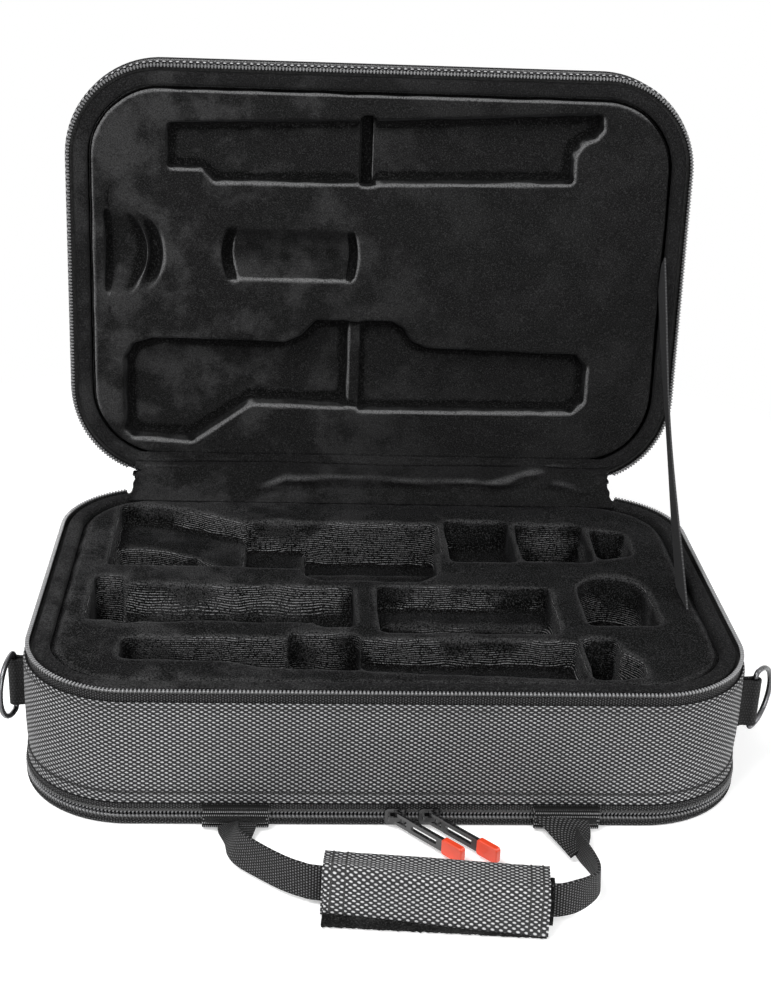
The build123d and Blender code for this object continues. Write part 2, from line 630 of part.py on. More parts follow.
def pull_body():
    """The metal pull, along +X from its bar, which lies under the slider's bridge."""
    bar = Cylinder(PULL_BAR_R, PULL_W)
    thin = Pos(PULL_L / 2, 0, 0) * Box(PULL_L, 2 * PULL_BAR_R, PULL_W)
    thick = Pos((PULL_L + PULL_NECK) / 2, 0, 0) * Box(PULL_L - PULL_NECK, PULL_T, PULL_W)
    fork = Pos(PULL_FORK / 2, 0, 0) * Box(PULL_FORK + 2, 2 * PULL_T, PULL_ARM_GAP)
    slot_l = PULL_SLOT[1] - PULL_SLOT[0]
    slot = Pos(PULL_SLOT[0] + slot_l / 2, 0, 0) * Box(slot_l, 2 * PULL_T, PULL_SLOT_W)
    return one(thin + thick - fork - slot + bar)


def pull_tip():
    """The moulded finger piece on the pull's end."""
    tip = Pos(PULL_L - TIP_GRIP + TIP_L / 2, 0, 0) * Box(TIP_L, TIP_T, TIP_W)
    tip = fillet(tip.edges().filter_by(Axis.Y), 1.6)
    tip = chamfer(tip.edges().filter_by(lambda e: abs(abs(e.center().Y) - TIP_T / 2) < 0.01), 0.5)
    return tip


def pulls(place, turn):
    """The pull and its tip, turned about the bar and put on a slider."""
    body, tip = pull_body(), pull_tip()
    tip = one(tip - body)
    at = place * Pos(0, PULL_AXIS_Y, 0) * Rot(0, 0, -turn)
    return at * body, at * tip


ROW_FACE_Y = HALF_D - LOWER_ROW_INSET


def front_slider_place(x, post_side):
    place = Pos(x, -ROW_FACE_Y, COMPARTMENT_PLANE_Z)
    return place if post_side > 0 else place * Rot(0, 180, 0)


MAIN_ROW_R = CORNER_R - (TAPE_INSET - ROW_PROUD)
CORNER_X = HALF_L - CORNER_R
CORNER_Y = HALF_D - CORNER_R


def main_slider_place(side):
    """On the arc of a back corner, with the local -Y pointing outwards."""
    turn = 180 - side * MAIN_SLIDER_ANGLE
    return Pos(side * CORNER_X, CORNER_Y, ZIP_PLANE_Z) * Rot(0, 0, turn) * Pos(0, -MAIN_ROW_R, 0)


def build():
    parts = {
        "base_shell": base_shell(),
        "base_cover": base_cover(),
        "base_hem": base_hem(),
        "base_rim_pad": rim_pad(PAD_BOTTOM, PAD_TOP, PAD_TOP),
        "base_insert": base_insert(),
        "main_zip_base_tape": zip_tape(COVER_TOP - TAPE_TUCK, BASE_ROW_BOTTOM),
        "main_zip_base_teeth": zip_row(BASE_ROW_BOTTOM, BASE_ROW_TOP),
        "compartment_zip_upper_tape": lower_tape(UPPER_ROW_BOTTOM + ROW_H, HEM_Z - BOND_GAP),
        "compartment_zip_upper_teeth": lower_row(UPPER_ROW_BOTTOM, UPPER_ROW_BOTTOM + ROW_H),
        "compartment_zip_lower_tape": lower_tape(LOWER_TAPE_BOTTOM, LOWER_ROW_TOP - ROW_H),
        "compartment_zip_lower_teeth": lower_row(LOWER_ROW_TOP - ROW_H, LOWER_ROW_TOP),
        "bottom_cover": bottom_cover(),
        "bottom_board": bottom_board(),
        "bottom_hinge_strip": bottom_hinge_strip(),
        "lid_shell": open_lid(lid_shell()),
        "lid_side_band": open_lid(lid_side_band()),
        "lid_top_panel": open_lid(lid_top_panel()),
        "lid_rim_pad": open_lid(rim_pad(mirror_z(PAD_TOP), mirror_z(PAD_BOTTOM), mirror_z(PAD_TOP))),
        "lid_insert": open_lid(lid_insert()),
        "main_zip_lid_tape": open_lid(zip_tape(mirror_z(BASE_ROW_BOTTOM), mirror_z(COVER_TOP) + TAPE_TUCK)),
        "main_zip_lid_teeth": open_lid(zip_row(mirror_z(BASE_ROW_TOP), mirror_z(BASE_ROW_BOTTOM))),
        "outer_hinge_strip": hinge_strip(),
        "inner_hinge_gusset": hinge_gusset(),
        "stay_strap": stay_strap(),
        "handle_anchor_left": handle_anchor(HANDLE_X - HANDLE_HALF_SPAN),
        "handle_anchor_right": handle_anchor(HANDLE_X + HANDLE_HALF_SPAN),
        "handle_strap": handle_strap(),
        "grip_pad": grip_pad(),
        "grip_wrap": grip_wrap(),
        "grip_flap": grip_flap(),
    }
    for name, side in (("left", -1), ("right", 1)):
        parts[f"ring_tab_{name}"] = ring_tab(side)
        parts[f"d_ring_{name}"] = d_ring(side)
        front = front_slider_place(SLIDER_LEFT_X if side < 0 else SLIDER_RIGHT_X, -side)
        parts[f"compartment_slider_{name}"] = front * slider()
        pull_place = Pos(SLIDER_LEFT_X if side < 0 else SLIDER_RIGHT_X, -ROW_FACE_Y, COMPARTMENT_PLANE_Z)
        body, tip = pulls(pull_place, PULL_REST_ANGLE)
        parts[f"compartment_pull_{name}"] = body
        parts[f"compartment_pull_tip_{name}"] = tip
        corner = main_slider_place(side)
        parts[f"main_slider_{name}"] = open_lid(corner * Rot(0, 0 if side > 0 else 180, 0) * slider())
        body, tip = pulls(corner, 90 + side * MAIN_SLIDER_ANGLE)
        parts[f"main_pull_{name}"] = open_lid(body)
        parts[f"main_pull_tip_{name}"] = open_lid(tip)
    return parts


for name, shape in build().items():
    export_step(shape, f"parts/{name}.step")
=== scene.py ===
# %% [markdown]
# # An open oboe case
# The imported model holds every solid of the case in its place. This script dresses it: the hard parts keep
# their solids and get a finish, and each soft part is made again here as cloth, plush, webbing or zip.

import bpy
import json
import math
import numpy as np
from mathutils import Matrix, Vector, noise


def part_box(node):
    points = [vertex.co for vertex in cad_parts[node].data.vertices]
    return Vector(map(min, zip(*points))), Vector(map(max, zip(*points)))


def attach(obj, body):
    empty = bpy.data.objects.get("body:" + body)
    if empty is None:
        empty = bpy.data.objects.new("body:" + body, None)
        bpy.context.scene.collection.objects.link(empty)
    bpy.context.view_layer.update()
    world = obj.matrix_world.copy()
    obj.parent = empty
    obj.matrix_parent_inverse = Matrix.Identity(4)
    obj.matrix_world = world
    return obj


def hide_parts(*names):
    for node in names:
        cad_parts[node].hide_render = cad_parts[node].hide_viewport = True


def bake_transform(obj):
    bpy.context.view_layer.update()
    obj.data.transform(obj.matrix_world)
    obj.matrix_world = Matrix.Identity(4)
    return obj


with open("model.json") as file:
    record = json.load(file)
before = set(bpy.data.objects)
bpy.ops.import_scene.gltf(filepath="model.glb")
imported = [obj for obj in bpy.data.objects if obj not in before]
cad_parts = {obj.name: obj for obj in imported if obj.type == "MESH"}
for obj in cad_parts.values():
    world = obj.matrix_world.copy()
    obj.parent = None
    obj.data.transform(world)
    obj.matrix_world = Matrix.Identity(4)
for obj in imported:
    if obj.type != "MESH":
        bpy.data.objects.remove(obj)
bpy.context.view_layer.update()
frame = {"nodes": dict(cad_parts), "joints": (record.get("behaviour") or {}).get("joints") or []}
nodes = frame["nodes"]

# %% [markdown]
# Everything is in metres, so small sizes are written as a number of millimetres. The case's own length,
# depth and hinge come from the loaded model, and the lid's pieces are made shut and then opened about
# that hinge, which is easier than making them at a slant.

# %% Sizes
MM = 0.001
cover_low, cover_high = (Vector(corner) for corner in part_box("base_cover"))
LENGTH = cover_high.x - cover_low.x
DEPTH = cover_high.y - cover_low.y
CORNER = 52 * MM
lid_hinge = next(j for j in frame["joints"] if j["name"] == "lid_hinge")
HINGE = Vector(lid_hinge["pos_m"])
ZIP_PLANE = HINGE.z
LID_TURN = math.radians(lid_hinge["range_deg"][1])
LID_OPEN = Matrix.Translation(HINGE) @ Matrix.Rotation(-LID_TURN, 4, "X") @ Matrix.Translation(-HINGE)
FLAT_X = LENGTH / 2 - CORNER
FLAT_Y = DEPTH / 2 - CORNER
ZIP_END_X = 140 * MM
LOWER_ZIP_END_X = 146 * MM
print("case", round(LENGTH, 4), round(DEPTH, 4), "zip plane", ZIP_PLANE)


def mirrored(z):
    """Height of a lid feature over the shut zip, from the base feature that it mirrors."""
    return 2 * ZIP_PLANE - z


# %% [markdown]
# The camera stands where the photographer stood: a little left of the middle, looking down by 24 degrees.
# It is made first.

# %% Camera
CAMERA_PLACE = (-50.5 * MM, -757.4 * MM, 447.8 * MM)
PITCH, YAW, ROLL = math.radians(23.70), math.radians(3.82), math.radians(2.45)
FRAME_HEIGHT, FOCAL_LENGTH = 36, 59.2
look = Vector((math.sin(YAW) * math.cos(PITCH), math.cos(YAW) * math.cos(PITCH), -math.sin(PITCH)))
level = Vector((math.cos(YAW), -math.sin(YAW), 0))
above = level.cross(look)
right = level * math.cos(ROLL) + above * math.sin(ROLL)
up = above * math.cos(ROLL) - level * math.sin(ROLL)
bpy.ops.object.camera_add(location=CAMERA_PLACE)
camera = bpy.context.active_object
camera.rotation_euler = Matrix((right, up, -look)).transposed().to_euler()
camera.data.sensor_fit = "VERTICAL"
camera.data.sensor_height = FRAME_HEIGHT
camera.data.lens = FOCAL_LENGTH
bpy.context.scene.camera = camera
print("camera", round(Vector(CAMERA_PLACE).length, 3), "m from the middle of the case's foot")

# %% [markdown]
# Every finish, and the white ground too, is built from nodes in code: a node is made, its numbers are set
# and its sockets are linked. Small helpers for the nodes that come up often keep the rest readable.

# %% Node helpers


def calc(tree, operation, first, second=None, third=None):
    """A Math node; each operand is a socket or a number."""
    node = tree.nodes.new("ShaderNodeMath")
    node.operation = operation
    for slot, value in enumerate((first, second, third)):
        if value is None:
            continue
        if isinstance(value, (int, float)):
            node.inputs[slot].default_value = value
        else:
            tree.links.new(value, node.inputs[slot])
    return node.outputs[0]


def times(tree, first, second):
    """A product of two sockets or numbers."""
    return calc(tree, "MULTIPLY", first, second)


def fade(tree, value, low, high, start=0.0, end=1.0):
    """A smooth step from start to end as value goes from low to high."""
    node = tree.nodes.new("ShaderNodeMapRange")
    node.interpolation_type = "SMOOTHSTEP"
    tree.links.new(value, node.inputs["Value"])
    for label, number in (("From Min", low), ("From Max", high), ("To Min", start), ("To Max", end)):
        node.inputs[label].default_value = number
    return node.outputs[0]


def speckle(tree, vector, scale, detail=2.0, rough=0.5):
    """Noise between 0 and 1."""
    node = tree.nodes.new("ShaderNodeTexNoise")
    node.inputs["Scale"].default_value = scale
    node.inputs["Detail"].default_value = detail
    node.inputs["Roughness"].default_value = rough
    tree.links.new(vector, node.inputs["Vector"])
    return node.outputs["Fac"]


def blend_colours(tree, factor, first, second):
    """A colour between two."""
    node = tree.nodes.new("ShaderNodeMix")
    node.data_type = "RGBA"
    tree.links.new(factor, node.inputs["Factor"])
    for label, value in (("A", first), ("B", second)):
        socket = next(s for s in node.inputs if s.name == label and s.type == "RGBA")
        if isinstance(value, tuple):
            socket.default_value = (*value, 1)
        else:
            tree.links.new(value, socket)
    return next(s for s in node.outputs if s.type == "RGBA")


def scaled(colour, share):
    """A colour made darker or paler by a factor."""
    return tuple(share * channel for channel in colour)


def coordinates(tree, kind):
    """Object or UV coordinates."""
    return tree.nodes.new("ShaderNodeTexCoord").outputs[kind]


def parts(tree, vector):
    """The X, Y and Z of a vector."""
    node = tree.nodes.new("ShaderNodeSeparateXYZ")
    tree.links.new(vector, node.inputs[0])
    return node.outputs


def attribute(tree, name):
    """A value that is stored on the piece's own points."""
    node = tree.nodes.new("ShaderNodeAttribute")
    node.attribute_name = name
    return node.outputs["Fac"]


# %% [markdown]
# The photograph has a pure white ground and even light. The sky is white for the camera and for whatever
# reflects it, but it lights the case only a little, so that black plush stays black.

# %% White sky
scene = bpy.context.scene
scene.view_settings.view_transform = "Standard"
SKY_LIGHT = 0.32


def white_for_camera(node_tree, shader_socket, output_socket):
    """Puts plain white in place of a shader wherever the camera, a reflection or glass sees it."""
    links = node_tree.links
    path = node_tree.nodes.new("ShaderNodeLightPath").outputs
    white = node_tree.nodes.new("ShaderNodeEmission")
    mix = node_tree.nodes.new("ShaderNodeMixShader")
    clear = calc(node_tree, "MAXIMUM", path["Is Glossy Ray"], path["Is Transmission Ray"])
    links.new(calc(node_tree, "MAXIMUM", path["Is Camera Ray"], clear), mix.inputs[0])
    links.new(shader_socket, mix.inputs[1])
    links.new(white.outputs[0], mix.inputs[2])
    links.new(mix.outputs[0], output_socket)


world = bpy.data.worlds.new("white sky")
scene.world = world
world.use_nodes = True
sky = world.node_tree.nodes["Background"]
sky.inputs["Color"].default_value = (1, 1, 1, 1)
sky.inputs["Strength"].default_value = SKY_LIGHT
white_for_camera(world.node_tree, sky.outputs[0], world.node_tree.nodes["World Output"].inputs["Surface"])
print("sky strength", SKY_LIGHT)

# %% [markdown]
# The floor is a matt white sheet that has to hold the case's soft shadow. Further out it has to be as plain
# as the sky, so over a short distance it gives way to plain white.

# %% Floor
FLOOR_SIZE = 6
FLOOR_WHITE = 0.93
FLOOR_GLOW = 0.35
SHADOW_FADES, SHADOW_ENDS = 0.30, 0.55

bpy.ops.mesh.primitive_plane_add(size=FLOOR_SIZE)
floor = bpy.context.active_object
floor.name = "floor"
floor_white = bpy.data.materials.new("floor white")
floor_white.use_nodes = True
floor_shader = floor_white.node_tree.nodes["Principled BSDF"]
floor_shader.inputs["Base Color"].default_value = (FLOOR_WHITE, FLOOR_WHITE, FLOOR_WHITE, 1)
floor_shader.inputs["Roughness"].default_value = 0.9
floor_shader.inputs["Emission Color"].default_value = (1, 1, 1, 1)
floor_shader.inputs["Emission Strength"].default_value = FLOOR_GLOW
floor.data.materials.append(floor_white)
floor_tree = floor_white.node_tree
floor_away = floor_tree.nodes.new("ShaderNodeVectorMath")
floor_away.operation = "LENGTH"
floor_tree.links.new(coordinates(floor_tree, "Object"), floor_away.inputs[0])
far_share = floor_tree.nodes.new("ShaderNodeMapRange")
far_share.inputs["From Min"].default_value = SHADOW_FADES
far_share.inputs["From Max"].default_value = SHADOW_ENDS
floor_tree.links.new(floor_away.outputs["Value"], far_share.inputs["Value"])
plain_white = floor_tree.nodes.new("ShaderNodeEmission")
floor_mix = floor_tree.nodes.new("ShaderNodeMixShader")
floor_tree.links.new(far_share.outputs[0], floor_mix.inputs[0])
floor_tree.links.new(floor_shader.outputs[0], floor_mix.inputs[1])
floor_tree.links.new(plain_white.outputs[0], floor_mix.inputs[2])
floor_tree.links.new(floor_mix.outputs[0], floor_tree.nodes["Material Output"].inputs["Surface"])
print("floor", FLOOR_SIZE, "m wide, plain white beyond", SHADOW_ENDS, "m")

# %% [markdown]
# Large soft lamps light the black plush from above and in front, so that its folds read. The right and back
# ones are weak and only lift the shadows.

# %% Lamps


def softbox(name, at, aim, size, watts):
    """A square soft lamp that points at a place."""
    bpy.ops.object.light_add(type="AREA", location=at)
    lamp = bpy.context.active_object
    lamp.name = name
    lamp.data.size = size
    lamp.data.energy = watts
    lamp.rotation_euler = (Vector(aim) - Vector(at)).to_track_quat("-Z", "Y").to_euler()
    return lamp


softbox("key lamp", (-0.55, -0.55, 1.25), (0, 0, 0.1), 0.6, 15)
softbox("front lamp", (0.35, -1.6, 0.75), (0, 0, 0.1), 0.9, 17)
softbox("right lamp", (1.3, -0.1, 0.8), (0, 0, 0.15), 0.7, 6)
softbox("back lamp", (-0.9, 1.3, 0.9), (0, 0, 0.15), 0.9, 7)

# %% [markdown]
# A finish here is a node tree round one Principled shader. The patterns that several finishes share, such
# as the weave or the pile, are node groups with named inputs, so that each finish sets its own scale.

# %% Finish helpers


def new_group(name, inputs, outputs):
    """A shader node group with float or vector inputs and float or colour outputs."""
    group = bpy.data.node_groups.new(name, "ShaderNodeTree")
    for label, kind, value in inputs:
        socket = group.interface.new_socket(label, in_out="INPUT", socket_type=kind)
        if value is not None:
            socket.default_value = value
    for label, kind in outputs:
        group.interface.new_socket(label, in_out="OUTPUT", socket_type=kind)
    return group, group.nodes.new("NodeGroupInput"), group.nodes.new("NodeGroupOutput")


def new_finish(name, roughness, sheen=0.0, metallic=0.0, gloss=0.5):
    """A material with one Principled shader. Cloth takes a low gloss, or its black turns grey."""
    material = bpy.data.materials.new(name)
    material.use_nodes = True
    shader = material.node_tree.nodes["Principled BSDF"]
    shader.inputs["Roughness"].default_value = roughness
    shader.inputs["Metallic"].default_value = metallic
    shader.inputs["Specular IOR Level"].default_value = gloss
    shader.inputs["Sheen Weight"].default_value = sheen
    shader.inputs["Sheen Roughness"].default_value = 0.45
    return material, material.node_tree, shader


def raise_surface(tree, shader, height, distance, strength=1.0):
    """Bump from a height between 0 and 1 and a real distance."""
    bump = tree.nodes.new("ShaderNodeBump")
    bump.inputs["Distance"].default_value = distance
    bump.inputs["Strength"].default_value = strength
    tree.links.new(height, bump.inputs["Height"])
    tree.links.new(bump.outputs["Normal"], shader.inputs["Normal"])


def use_group(tree, group, **values):
    """A copy of a group in a material, with its inputs set or linked."""
    node = tree.nodes.new("ShaderNodeGroup")
    node.node_tree = group
    for label, value in values.items():
        socket = node.inputs[label.replace("_", " ")]
        if isinstance(value, (int, float)):
            socket.default_value = value
        else:
            tree.links.new(value, socket)
    return node


# %% [markdown]
# The cover is a coarse weave. Small light floats lie like bricks, 3.6 mm apart in rows of 1.1 mm, and dark
# threads pass between them. The group works this out from a surface map in metres: it numbers the rows,
# shifts every second one by half a pitch, and measures how near a point is to the middle of its float.

# %% Weave group
weave, weave_in, weave_out = new_group(
    "brick weave",
    [("Vector", "NodeSocketVector", None), ("Float Pitch", "NodeSocketFloat", 3.6 * MM),
     ("Row Pitch", "NodeSocketFloat", 1.12 * MM)],
    [("Float", "NodeSocketFloat"), ("Height", "NodeSocketFloat"), ("Shade", "NodeSocketFloat")])
FLOAT_HALF_LENGTH, FLOAT_HALF_WIDTH = 0.27, 0.47  # as shares of the two pitches
FLOAT_SLANT = 0.10
STRAND_SCALE = (500, 2600, 1)
weave_at = parts(weave, weave_in.outputs["Vector"])
row_at = calc(weave, "DIVIDE", weave_at["Y"], weave_in.outputs["Row Pitch"])
row_number = calc(weave, "FLOOR", row_at)
across_float = calc(weave, "SUBTRACT", calc(weave, "FRACT", row_at), 0.5)
shift = times(weave, calc(weave, "FLOORED_MODULO", row_number, 2.0), 0.5)
slant = times(weave, across_float, FLOAT_SLANT)
along = calc(weave, "ADD", calc(weave, "DIVIDE", weave_at["X"], weave_in.outputs["Float Pitch"]), shift)
along = calc(weave, "ADD", along, slant)
along_float = calc(weave, "SUBTRACT", calc(weave, "FRACT", along), 0.5)
long_part = calc(weave, "ABSOLUTE", calc(weave, "DIVIDE", along_float, FLOAT_HALF_LENGTH))
wide_part = calc(weave, "ABSOLUTE", calc(weave, "DIVIDE", across_float, FLOAT_HALF_WIDTH))
far = calc(weave, "ADD", calc(weave, "POWER", long_part, 2.0), calc(weave, "POWER", wide_part, 2.0))
nearness = calc(weave, "SUBTRACT", 1.0, far)
stretch = weave.nodes.new("ShaderNodeVectorMath")
stretch.operation = "MULTIPLY"
stretch.inputs[1].default_value = STRAND_SCALE
weave.links.new(weave_in.outputs["Vector"], stretch.inputs[0])
weave.links.new(fade(weave, nearness, -0.15, 0.95), weave_out.inputs["Float"])
weave.links.new(speckle(weave, stretch.outputs[0], 1.0), weave_out.inputs["Shade"])
weave.links.new(calc(weave, "POWER", calc(weave, "MAXIMUM", nearness, 0.0), 0.6), weave_out.inputs["Height"])
print("weave group", len(weave.nodes), "nodes")

# %% [markdown]
# The cover takes two colours from the weave: light floats, and dark threads between them. A slow noise over
# the whole case wears the floats unevenly. The grip is wrapped in the same weave. Its paler colours are
# painted light, as the handle is more brightly lit.


# %% Woven cover finish
def woven_finish(name, light, dark):
    """The brick weave in two colours."""
    material, tree, shader = new_finish(name, 0.5, gloss=0.3)
    cloth = use_group(tree, weave, Vector=coordinates(tree, "UV")).outputs
    worn = speckle(tree, coordinates(tree, "Object"), 30.0, 4.0)
    lit = blend_colours(tree, fade(tree, cloth["Shade"], 0.3, 0.6), scaled(light, 0.55), light)
    lit = blend_colours(tree, fade(tree, worn, 0.3, 0.7), scaled(light, 0.75), lit)
    ground = blend_colours(tree, fade(tree, cloth["Shade"], 0.35, 0.75), dark, scaled(dark, 3.2))
    tree.links.new(blend_colours(tree, cloth["Float"], ground, lit), shader.inputs["Base Color"])
    tree.links.new(fade(tree, cloth["Float"], 0, 1, 0.75, 0.38), shader.inputs["Roughness"])
    raise_surface(tree, shader, cloth["Height"], 0.35 * MM)
    return material


woven = woven_finish("woven grey cover", (0.475, 0.475, 0.485), (0.0045, 0.0045, 0.0048))
# Painted light: the grip's cloth is the cover's cloth, in paler colours.
grip_woven = woven_finish("woven grey grip", (0.60, 0.60, 0.61), (0.008, 0.008, 0.0085))
print("woven finishes:", woven.name, "and", grip_woven.name)

# %% [markdown]
# Plush is short pile on a knitted ground. It is nearly black from above and paler at a glancing angle,
# which sheen gives, and brushing leaves lighter and darker patches. Where it is stretched down the wall of
# a well the knit opens into fine lines, so the group also puts out a line pattern for steep walls.

# %% Pile group
pile, pile_in, pile_out = new_group(
    "short pile",
    [("Vector", "NodeSocketVector", None), ("Knit Pitch", "NodeSocketFloat", 1.12 * MM)],
    [("Nap", "NodeSocketFloat"), ("Fuzz", "NodeSocketFloat"), ("Knit", "NodeSocketFloat")])
pile_place = pile_in.outputs["Vector"]
pile.links.new(speckle(pile, pile_place, 38.0, 5.0, 0.6), pile_out.inputs["Nap"])
pile.links.new(speckle(pile, pile_place, 1500.0, 1.0, 0.6), pile_out.inputs["Fuzz"])
wander = times(pile, speckle(pile, pile_place, 45.0, 1.0), 5.0 * MM)
knit_height = calc(pile, "ADD", parts(pile, pile_place)["Z"], wander)
knit_at = calc(pile, "DIVIDE", knit_height, pile_in.outputs["Knit Pitch"])
knit_line = calc(pile, "COSINE", times(pile, knit_at, 2 * math.pi))
pile.links.new(times(pile, knit_line, speckle(pile, pile_place, 620.0, 1.0)), pile_out.inputs["Knit"])
print("pile group", len(pile.nodes), "nodes")

# %% [markdown]
# One function makes every plush. It is told how dark the pile is and how pale where it is brushed, how much
# of the open knit shows, how strongly a painted highlight lies on ridges, and how grainy the tips of the pile
# are.
# Where a piece stores marks for them, it also gets painted shade in its hollows and on the floors of deep
# wells.


# %% Plush finishes
def plush_finish(name, dark, brushed, knit=0.0, painted_ridge_shading=0.0, fleck=0.6):
    """Plush with a painted highlight on its ridges and painted shade in its hollows, where the piece stores
    marks for them.
    """
    material, tree, shader = new_finish(name, 0.9, sheen=0.018, gloss=0.03)
    shader.inputs["Sheen Tint"].default_value = (0.75, 0.76, 0.8, 1)
    place = coordinates(tree, "Object")
    fur = use_group(tree, pile, Vector=place).outputs
    # Painted light: the brushed patches are made stronger towards the case's left, where the light comes from.
    painted_light_to_left = fade(tree, parts(tree, place)["X"], 0.08, -0.10, 0.2, 1.0)
    patch = times(tree, fade(tree, fur["Nap"], 0.44, 0.62), painted_light_to_left)
    colour = blend_colours(tree, patch, dark, brushed)
    height = times(tree, fur["Fuzz"], 0.6)
    # Painted light: a highlight on the ridges and shade in the hollows, from the piece's ridge marks.
    if painted_ridge_shading:
        stands = attribute(tree, "painted_ridge_shading")
        crest = times(tree, fade(tree, stands, 0.10, 0.75), fade(tree, fur["Fuzz"], 0.2, 0.7, 0.45, 1.0))
        hollow = fade(tree, stands, -0.05, -0.6)
        colour = blend_colours(tree, times(tree, crest, painted_ridge_shading), colour, scaled(brushed, 5.0))
        colour = blend_colours(tree, times(tree, hollow, 0.9), colour, scaled(dark, 0.2))
    if knit:
        tilt = parts(tree, tree.nodes.new("ShaderNodeNewGeometry").outputs["Normal"])["Z"]
        steep = fade(tree, calc(tree, "ABSOLUTE", tilt), 0.55, 0.93, 1.0, 0.0)
        patchy = fade(tree, speckle(tree, place, 22.0), 0.38, 0.54)
        # Painted shade on the floors of deep wells.
        colour = blend_colours(tree, times(tree, attribute(tree, "deep"), 0.8), colour, scaled(dark, 0.25))
        lines = times(tree, times(tree, fur["Knit"], steep), patchy)
        height = calc(tree, "ADD", height, times(tree, lines, knit))
        bright = times(tree, fade(tree, lines, 0.12, 0.5), fade(tree, fur["Fuzz"], 0.3, 0.6))
        colour = blend_colours(tree, bright, colour, scaled(brushed, 9.0))
    dark_tips = fade(tree, fur["Fuzz"], 0.52, 0.34, 0.0, fleck)
    pale_tips = fade(tree, fur["Fuzz"], 0.50, 0.74, 0.0, 0.5 * fleck)
    colour = blend_colours(tree, dark_tips, colour, scaled(dark, 0.2))
    colour = blend_colours(tree, pale_tips, colour, scaled(brushed, 3.0))
    tree.links.new(colour, shader.inputs["Base Color"])
    raise_surface(tree, shader, height, 0.4 * MM, 0.9)
    return material


# One plush and one velour: the different tones of base, lid, hinge and rims are painted light and shade for how
# each part is lit, darkest in the base.
plush = plush_finish("black plush", (0.0042, 0.0042, 0.0043), (0.024, 0.024, 0.0243), knit=0.7, painted_ridge_shading=0.25,
                     fleck=0.9)
lid_plush = plush_finish("black plush of the lid", (0.0085, 0.0085, 0.0086), (0.027, 0.027, 0.0273), painted_ridge_shading=1.0,
                         fleck=0.4)
gusset_plush = plush_finish("black plush of the hinge", (0.0065, 0.0065, 0.0066), (0.021, 0.021, 0.0213),
                            painted_ridge_shading=0.55, fleck=0.5)
lip_cloth = plush_finish("black velour of the rim", (0.009, 0.009, 0.0092), (0.021, 0.021, 0.0213), fleck=0.5)
base_lip_cloth = plush_finish("velour of the base rim", (0.009, 0.009, 0.0092), (0.026, 0.026, 0.0263),
                              fleck=0.7)
fuzz_strip = plush_finish("hook and loop", (0.008, 0.008, 0.008), (0.03, 0.03, 0.03))
print("plush done,", len(bpy.data.materials), "materials so far")

# %% [markdown]
# What is a ridge and what is a hollow is a matter of shape, so it is measured on the mesh. Each point is
# compared with its neighbourhood, smoothed a number of times, and the difference is kept as an attribute.
# The plush finishes paint a highlight on the ridges and shade in the hollows from it.

# %% Ridge marks


def point_values(mesh, kind):
    """The places or normals of all points of a mesh, as rows of three numbers."""
    values = np.empty(len(mesh.vertices) * 3)
    mesh.vertices.foreach_get(kind, values)
    return values.reshape(-1, 3)


def mark_ridges(piece, reach, full, lit=None):
    """Stores how far each point stands out of its smoothed neighbourhood, from -1 to 1.

    With a lit direction, ridges that face away from it keep little of their value, so the painted highlight
    lies on the ridges that face the light.
    """
    mesh = piece.data
    count = len(mesh.vertices)
    spots, normals = point_values(mesh, "co"), point_values(mesh, "normal")
    ends = np.empty(len(mesh.edges) * 2, dtype=np.int64)
    mesh.edges.foreach_get("vertices", ends)
    first, second = ends.reshape(-1, 2).T
    degree = np.bincount(first, minlength=count) + np.bincount(second, minlength=count)
    smooth = spots.copy()
    for _ in range(reach):
        total = np.zeros_like(smooth)
        for axis in range(3):
            total[:, axis] = (np.bincount(first, weights=smooth[second, axis], minlength=count)
                              + np.bincount(second, weights=smooth[first, axis], minlength=count))
        smooth = total / np.maximum(degree, 1)[:, None]
    stands = np.clip(((spots - smooth) * normals).sum(axis=1) / full, -1, 1)
    if lit is not None:
        share = np.clip(normals @ np.array(lit) * 2.2, 0, 1)
        stands = np.where(stands > 0, stands * (0.12 + 0.88 * share), stands)
    layer = mesh.attributes.new("painted_ridge_shading", "FLOAT", "POINT")
    layer.data.foreach_set("value", stands.astype(np.float32))
    print(piece.name, "ridges", round(float(stands.min()), 2), round(float(stands.max()), 2))


# %% [markdown]
# Webbing, ribbon and zip tape are narrow weaves with ribs across them. One group draws ribs at a pitch,
# crossed by the finer threads that bind them, along whichever axis of the surface map is asked for.

# %% Rib group
ribs, ribs_in, ribs_out = new_group(
    "ribbed narrow weave",
    [("Vector", "NodeSocketVector", None), ("Rib Pitch", "NodeSocketFloat", 1.3 * MM),
     ("Thread Pitch", "NodeSocketFloat", 1.1 * MM)],
    [("Height", "NodeSocketFloat"), ("Shade", "NodeSocketFloat")])
ribs_at = parts(ribs, ribs_in.outputs["Vector"])
rib_at = calc(ribs, "DIVIDE", ribs_at["X"], ribs_in.outputs["Rib Pitch"])
thread_at = calc(ribs, "DIVIDE", ribs_at["Y"], ribs_in.outputs["Thread Pitch"])
rib_turn = times(ribs, calc(ribs, "FLOORED_MODULO", calc(ribs, "FLOOR", rib_at), 2.0), math.pi)
rib_wave = calc(ribs, "ABSOLUTE", calc(ribs, "SINE", times(ribs, rib_at, math.pi)))
thread_wave = calc(ribs, "COSINE", calc(ribs, "ADD", times(ribs, thread_at, 2 * math.pi), rib_turn))
thread_share = calc(ribs, "MULTIPLY_ADD", thread_wave, 0.3, 0.7)
ribs.links.new(times(ribs, rib_wave, thread_share), ribs_out.inputs["Height"])
ribs.links.new(speckle(ribs, ribs_in.outputs["Vector"], 900.0), ribs_out.inputs["Shade"])
print("rib group", len(ribs.nodes), "nodes")
